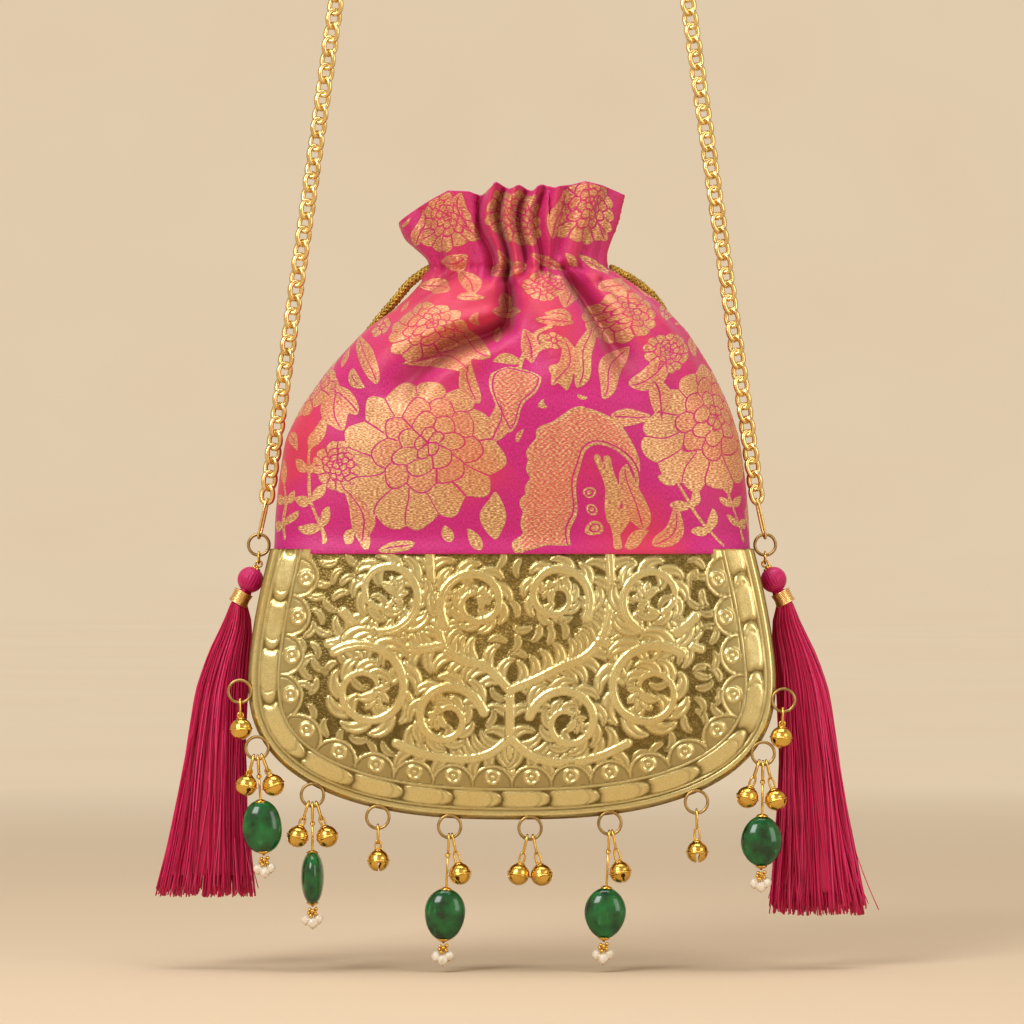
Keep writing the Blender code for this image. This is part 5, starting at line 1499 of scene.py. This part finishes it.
def circle(radius, angle):
    """A place on a level circle."""
    return np.array((radius * math.cos(angle), radius * math.sin(angle), 0))


def hanging(along):
    """Turns a piece so that its top points back along its pin, its front still to the front."""
    up = -along
    return np.stack([np.cross((0, 1, 0), up), np.array((0.0, 1.0, 0.0)), up], -1)


def hang_point(place):
    """Where a charm's link bears on its ring, from the ring's centre."""
    lean = math.atan2(place[0], -place[1]) * 1.3
    return np.array((EDGE_RING_RADIUS * math.sin(lean), 0.0, -EDGE_RING_RADIUS * math.cos(lean)))


def charm_link(hinge, along):
    """The long link of a charm, and the place of its foot."""
    centre = hinge + along * (CHARM_LINK[1] / 2 - CHARM_BEND)
    link = oval(centre, (0, 1, 0), along, CHARM_LINK[0], CHARM_LINK[1] / 2, CHARM_WIRE, 36, 8,
                LINK_FULLNESS)
    return link, hinge + along * (CHARM_LINK[1] - CHARM_BEND)


def make_bell(number, ring, place, template):
    """A bell with its domed cap, eyelet and link."""
    hang = hang_point(place)
    hinge = ring + hang
    reach = np.array((place[0], 0.0, place[1])) - hang
    along = unit(reach)
    centre = ring + (place[0], 0.0, place[1])
    turn = hanging(along) @ spin_z(BELL_TURNS[number - 1])
    link, foot = charm_link(hinge, along)
    shape = Shape().add(turned(template, turn, centre)).add(link)
    cap = ((1.9, -0.35), (1.75, 0.1), (1.1, 0.42), (0.62, 0.6), (0.62, 0.9))
    shape.add(turned(lathe(cap, 18), axis_turn(-along), centre - along * (BELL_RADIUS - 0.25)))
    eye = centre - along * (BELL_RADIUS + 1.0)
    # The eyelet is lengthened towards the link's foot where a gap is left
    gap = max(float(np.dot(eye - foot, along)) / 2, 0.0)
    shape.add(oval(eye - along * min(gap, 1.0), (1, 0, 0), along, 1.0, 1.0 + min(gap, 3.0), 0.42, 22, 7))
    shape.piece("bell_%02d_brass" % number, [BELL_BRASS], "bell_%02d_body" % number, "bell_brass",
                ["bell_%02d" % number])


def make_bead_drop(number, ring, across, depth, quarter):
    """A drilled flat bead on its pin, with gold seeds and three pearls below."""
    body = "bead_drop_%02d" % number
    hang = hang_point((across, depth))
    hinge = ring + hang
    reach = np.array((across, 0.0, depth)) - hang
    along = unit(reach)
    length = float(np.linalg.norm(reach))
    stand = hanging(along)
    link, foot = charm_link(hinge, along)
    middle = hinge + reach
    end = length + BEAD_HALF[2] + 1.0
    pin = Shape().add(link)
    pin.add(sweep(np.linspace(foot - along * CHARM_WIRE, hinge + along * end, 6), 0.45, 8))
    coil = [foot + along * (0.5 + 0.026 * k) + stand @ circle(0.72, k * 0.63) for k in range(40)]
    pin.add(sweep(coil, 0.26, 6))
    for way in (-1, 1):
        cap = ((0.6, 0.9), (1.5, 0.62), (2.35, 0.0), (2.3, -0.3))
        spot = middle + along * way * (BEAD_HALF[2] - 0.35)
        pin.add(turned(lathe(cap, 16), axis_turn(along * way), spot))
    pin.piece("bead_pin_%02d_wire" % number, [BELL_BRASS], body, "bell_brass",
              ["bead_pin_%02d" % number])
    turn = stand @ spin_z(90 * quarter)
    verts, faces = ball((0, 0, 0), BEAD_HALF, 36, 26)
    swell = 1 - 0.03 * np.sin(verts[:, 2:] / 3.0 + number)
    bead = Shape().add(turned((verts * swell, faces), turn, middle))
    bead.piece("bead_%02d_stone" % number, [GREEN_BEAD], body, "green_bead", ["bead_%02d" % number])
    seed = hinge + along * (end + CLEAR + 2.1)
    drop = Shape()
    for k in range(9):
        spot = seed + circle(1.35, k * 2.4) + (0, 0, 1.5 - 0.36 * k)
        drop.add(ball(spot, (0.78,) * 3, 10, 7), 1)
    for dx, dy, fall, size in ((-2.5, 0.2, 2.6, 1.9), (2.4, 0.4, 2.3, 1.8), (0.1, -0.4, 3.9, 2.0)):
        spot = seed + along * fall + np.array((dx, dy, 0))
        drop.add(ball(spot, (size, size * 0.92, size * 1.06), 18, 12))
        tip = spot + along * size
        drop.add(ball(tip, (0.34, 0.34, 0.5), 8, 6), 1)
        drop.add(sweep(np.linspace(seed, spot, 4), 0.2, 5), 1)
    drop.piece("pearl_drop_%02d_cluster" % number, [PEARL, BELL_BRASS], body, "pearl",
               ["pearl_drop_%02d" % number])


def make_charms():
    """Edge rings with their bells and bead drops."""
    template = bell_template()
    bell, bead_number = 0, 0
    for number, (side, degrees, bells, bead) in enumerate(EDGE_RINGS, 1):
        edge = edge_point(degrees, side, EDGE_RING_OUT)
        ring = np.array((edge[0], EDGE_RING_Y, edge[1]))
        Shape().add(round_ring(ring, EDGE_RING_RADIUS, EDGE_RING_WIRE, 44, 10)).piece(
            "edge_ring_%02d_wire" % number, [ANTIQUE], "bag", "antique_brass",
            ["edge_ring_%02d" % number])
        for place in bells:
            bell += 1
            make_bell(bell, ring, place, template)
        if bead:
            bead_number += 1
            make_bead_drop(bead_number, ring, *bead)


make_charms()

# Tassels

JUMP_RADIUS = 2.3
JUMP_WIRE = 0.45
EYE_RADIUS = 1.2
EYE_WIRE = 0.4
TASSEL_LEAN = math.radians(28)
HEAD_RADIUS = 4.9
HEAD_DROP = 6.9
NECK_RADIUS = 2.7
WRAP_HEIGHT = 5.3
# Levels of the skirt: depth, gap to the base, width and thickness
SKIRT_ROWS = ((28.0, 1.6, 11.0, 9.0), (40.0, 1.0, 16.0, 11.0), (54.0, 1.0, 20.5, 12.0),
              (80.0, 1.3, 24.5, 13.0), (110.0, 0.6, 30.0, 14.0))
SKIRT_LENGTHS = {"left": 134.0, "right": 141.0}
SKIRT_END = (0.6, 34.0, 14.0)
SKIRT_BACK = 4.0
STRANDS = 540
STRAND_POINTS = 24
STRAY_EVERY = 48
CORE_COLUMNS = 28


def skirt_sections(side, length, top, foot):
    """Middle, half width and half depth down a tassel's skirt, smoothed."""
    rows = [(*top, NECK_RADIUS, NECK_RADIUS), (*foot, NECK_RADIUS, NECK_RADIUS)]
    for depth, gap, width, thickness in SKIRT_ROWS + ((length, *SKIRT_END),):
        wall = BASE_HALF_WIDTH if -depth < BASE_WIDEST_Z else float(base_half_width(-depth))
        rows.append((side * (wall + gap + width / 2), SKIRT_BACK, -depth, width / 2, thickness / 2))
    rows = np.array(rows)
    way = way_along(rows[:, :3])
    table = read_off(np.linspace(0, way[-1], 240), way, rows)
    reach = 14
    first, last = table[:1], table[-1:]
    padded = np.concatenate([first + (first - table[reach:0:-1]), table,
                             last + (last - table[-2:-2 - reach:-1])])
    return soften(padded, reach, 6.0)


def make_strands(word, side, top, foot):
    """The skirt's threads: fine tubes that spread and end raggedly, with a few strays."""
    table = skirt_sections(side, SKIRT_LENGTHS[word], top, foot)
    share = np.linspace(0, 1, STRAND_POINTS) ** 0.9
    shape = Shape()
    tones = []
    for k in range(STRANDS):
        angle = RANDOM.uniform(0, 2 * np.pi)
        reach = math.sqrt(RANDOM.uniform(0.12, 1.0)) * 0.97
        stray = k % STRAY_EVERY == 0
        end = RANDOM.uniform(0.955, 1.0) if k % 7 else RANDOM.uniform(0.9, 1.0)
        at = share * end * (len(table) - 1)
        row = read_off(at, np.arange(len(table)), table)
        drift = RANDOM.uniform(-0.5, 0.5)
        wave = 0.45 * np.sin(share * RANDOM.uniform(5, 11) + angle * 3) * np.clip(share * 4, 0, 1)
        turn = angle + drift * share
        spread = 1 + 0.16 * np.clip((share - 0.7) / 0.3, 0, 1) ** 1.5
        x = row[:, 0] + row[:, 3] * reach * spread * np.cos(turn) + wave
        y = row[:, 1] + row[:, 4] * reach * np.sin(turn) + wave * 0.5
        z = row[:, 2]
        if stray:
            flare = RANDOM.uniform(2.5, 6.5) * np.clip((share - 0.62) / 0.38, 0, 1) ** 2
            x = x + np.copysign(flare, np.cos(turn))
            z = z + flare * 0.25
        size = 0.2 if stray else RANDOM.uniform(0.26, 0.36)
        shape.add(sweep(np.stack([x, y, z], -1), size, 3, across=(0, 1, 0)))
        tones.append(np.full(3 * STRAND_POINTS, RANDOM.uniform()))
    # A ridged core fills the skirt behind its threads, in the darkest thread tone as painted shade of
    # the skirt's inside
    core = table[6:225:4]
    ring = 2 * np.pi * np.arange(CORE_COLUMNS) / CORE_COLUMNS
    ridge = 0.84 + 0.05 * np.cos(14 * ring)
    verts = np.stack([core[:, None, 0] + core[:, None, 3] * ridge * np.cos(ring),
                      core[:, None, 1] + core[:, None, 4] * ridge * np.sin(ring),
                      np.repeat(core[:, 2:3], CORE_COLUMNS, 1)], -1).reshape(-1, 3)
    shape.add((verts, tube_faces(len(core), CORE_COLUMNS)))
    tones.append(np.full(len(verts), 0.05))
    shape.piece("tassel_threads_" + word, [THREAD], "tassel_" + word, "tassel_thread",
                ["tassel_skirt_" + word], {"tone_and_shade": np.concatenate(tones)})


def make_tassel(word, side):
    """One tassel with its rings, thread-covered head, wire wrap and skirt."""
    body = "tassel_" + word
    ring_foot = np.array((side * SIDE_RING_X, 0.0, SIDE_RING_Z - SIDE_RING_RADIUS))
    jump = ring_foot - (0, 0, JUMP_RADIUS - 0.6 - CLEAR - JUMP_WIRE)
    ring = Shape().add(oval(jump, (0, 1, 0), (0, 0, 1), JUMP_RADIUS, JUMP_RADIUS, JUMP_WIRE, 32, 8))
    ring.piece("jump_ring_%s_wire" % word, [BELL_BRASS], "tassel_ring_" + word, "bell_brass",
               ["tassel_jump_ring_" + word])
    hinge = jump - (0, 0, JUMP_RADIUS)
    eye = hinge + (0, 0, JUMP_WIRE + CLEAR + EYE_WIRE - EYE_RADIUS)
    lean = np.array((side * math.sin(TASSEL_LEAN), 0.0, -math.cos(TASSEL_LEAN)))
    head = eye + lean * HEAD_DROP
    stand = axis_turn(-lean)
    rows, columns, threads = 27, 96, 24
    drop = np.radians(np.linspace(8, 172, rows))
    turn = 2 * np.pi * np.arange(columns) / columns
    grain = 1 + 0.022 * np.cos(threads * turn)[None, :]
    verts = np.stack([HEAD_RADIUS * grain * np.sin(drop)[:, None] * np.cos(turn),
                      HEAD_RADIUS * grain * np.sin(drop)[:, None] * np.sin(turn),
                      np.repeat(HEAD_RADIUS * 1.02 * np.cos(drop)[:, None], columns, 1)], -1)
    shape = Shape().add(turned((verts.reshape(-1, 3), tube_faces(rows, columns)), stand, head))
    # Painted shade and highlight: the thread tone is darker in the grooves between the head's wrapped
    # threads and lighter on their ridges
    tone_and_shade = 0.45 + 0.2 * np.cos(threads * np.tile(turn, rows))
    shape.add(round_ring(eye, EYE_RADIUS, EYE_WIRE, 24, 7), 1)
    shape.add(sweep(np.linspace(eye + lean * EYE_RADIUS, head - lean * 3.9, 4), 0.64, 8), 1)
    for k in range(7):
        spot = eye + lean * (1.7 + 0.12 * k) + stand @ circle(1.15, k * 0.9)
        shape.add(ball(spot, (0.72,) * 3, 10, 7), 1)
    tones = np.concatenate([tone_and_shade, np.full(shape.count - len(tone_and_shade), 0.5)])
    shape.piece("tassel_head_%s_thread" % word, [HEAD_THREAD, BELL_BRASS], body, "tassel_thread",
                ["tassel_head_" + word], {"tone_and_shade": tones})
    top = head + lean * (HEAD_RADIUS + CLEAR)
    foot = top + lean * WRAP_HEIGHT
    wrap = Shape()
    for k in range(9):
        spot = top + lean * (0.35 + k * 0.575)
        radius = 3.55 - 0.25 * math.sin(math.pi * k / 8)
        wrap.add(oval(spot, (0, 1, 0), np.cross(lean, (0, 1, 0)), radius, radius, 0.34, 40, 7))
    wrap.piece("tassel_wrap_%s_wire" % word, [WRAP_WIRE], body, "bell_brass", ["tassel_wrap_" + word])
    make_strands(word, side, head + lean * (HEAD_RADIUS - 0.8), foot)


make_tassel("left", -1)
make_tassel("right", 1)

# Floor and lights

FLOOR_Z = -161.5
BOWL_FLOOR = 7000.0
BOWL_CURVE = 1500.0
BOWL_HEIGHT = 9000.0
BOWL_CENTRE = 150.0
BOWL_COLUMNS = 64
# How brightly the far bowl shines on the bag; the camera sees it at 1
BOWL_LIGHT = 0.36


def make_stage():
    """A pale round floor that curves up into a wall on every side, far from the bag."""
    turn = np.linspace(0, np.pi / 2, 12)
    curve = np.stack([BOWL_FLOOR + BOWL_CURVE * np.sin(turn), BOWL_CURVE * (1 - np.cos(turn))], -1)
    flat = np.stack([np.linspace(BOWL_CENTRE, BOWL_FLOOR, 10, endpoint=False), np.zeros(10)], -1)
    profile = np.concatenate([flat, curve, [(BOWL_FLOOR + BOWL_CURVE, BOWL_HEIGHT)]])
    angles = [k * math.tau / BOWL_COLUMNS for k in range(BOWL_COLUMNS)]
    verts = [(r * math.cos(angle), r * math.sin(angle), FLOOR_Z + z)
             for r, z in profile for angle in angles]
    faces = [f[::-1] for f in grid_faces(len(profile), BOWL_COLUMNS)] + [list(range(BOWL_COLUMNS))]
    mesh = bpy.data.meshes.new("backdrop")
    mesh.from_pydata(to_row(verts), [], faces)
    mesh.shade_smooth()
    look = Look("backdrop", Roughness=0.95, Specular_IOR_Level=0.1)
    cloud = look.noise(3.0, detail=2.0)
    colour = look.mix(cloud, rgb(222, 199, 168), rgb(228, 206, 177))
    look.set(Base_Color=colour)
    reach = look.node("VectorMath", {0: look.spot, 1: (1.0, 1.0, 0.0)}, operation="MULTIPLY").outputs[0]
    reach = look.node("VectorMath", {0: reach}, operation="LENGTH").outputs["Value"]
    path = look.node("LightPath")
    seen = look.math("ADD", path.outputs["Is Camera Ray"], path.outputs["Is Glossy Ray"])
    seen = look.math("ADD", seen, path.outputs["Is Transmission Ray"], clamp=True)
    strength = look.span(seen, 0.0, 1.0, BOWL_LIGHT, 1.0)
    glow = look.node("Emission", {"Color": colour, "Strength": strength})
    blend = look.node("MixShader", {0: look.span(reach, 0.5, 1.5)})
    look.tree.links.new(look.shader.outputs[0], blend.inputs[1])
    look.tree.links.new(glow.outputs[0], blend.inputs[2])
    output = next(n for n in look.tree.nodes if n.type == "OUTPUT_MATERIAL")
    look.tree.links.new(blend.outputs[0], output.inputs[0])
    mesh.materials.append(look.material)
    add_object("backdrop", mesh)


def area_light(name, place, aim, size, power, colour=(1, 1, 1)):
    """A soft box aimed at a place, in millimetres of the bag's frame."""
    data = bpy.data.lights.new(name, "AREA")
    data.shape = "RECTANGLE"
    data.size, data.size_y = size
    data.energy = power
    data.color = colour
    light = add_object(name, data)
    light.location = to_row(place)
    way = Vector(to_row(aim) - to_row(place))
    light.rotation_euler = way.to_track_quat("-Z", "Y").to_euler()


def make_lights():
    """Large soft lamps and a dim warm world."""
    area_light("key", (-900, -1300, 1000), (0, 0, 0), (0.8, 0.8), 18)
    area_light("fill", (1300, -1100, 350), (0, 0, 0), (0.7, 1.2), 7.5, (1.0, 0.96, 0.9))
    area_light("top", (0, -150, 1500), (0, 0, 0), (1.2, 0.8), 13)
    world = bpy.data.worlds.new("studio")
    world.use_nodes = True
    bpy.context.scene.world = world
    nodes, links = world.node_tree.nodes, world.node_tree.links
    back = nodes["Background"]
    back.inputs["Strength"].default_value = 0.42
    split = nodes.new("ShaderNodeSeparateXYZ")
    links.new(nodes.new("ShaderNodeTexCoord").outputs["Generated"], split.inputs[0])
    ramp = nodes.new("ShaderNodeValToRGB")
    ramp.color_ramp.elements[0].position = 0.25
    ramp.color_ramp.elements[0].color = rgb(120, 104, 88)
    ramp.color_ramp.elements[1].position = 0.8
    ramp.color_ramp.elements[1].color = rgb(250, 244, 234)
    height = nodes.new("ShaderNodeMath")
    height.operation = "MULTIPLY_ADD"
    height.inputs[1].default_value = 0.5
    height.inputs[2].default_value = 0.5
    links.new(split.outputs[2], height.inputs[0])
    links.new(height.outputs[0], ramp.inputs[0])
    links.new(ramp.outputs[0], back.inputs["Color"])
    bpy.context.scene.view_settings.view_transform = "Standard"


make_stage()
make_lights()
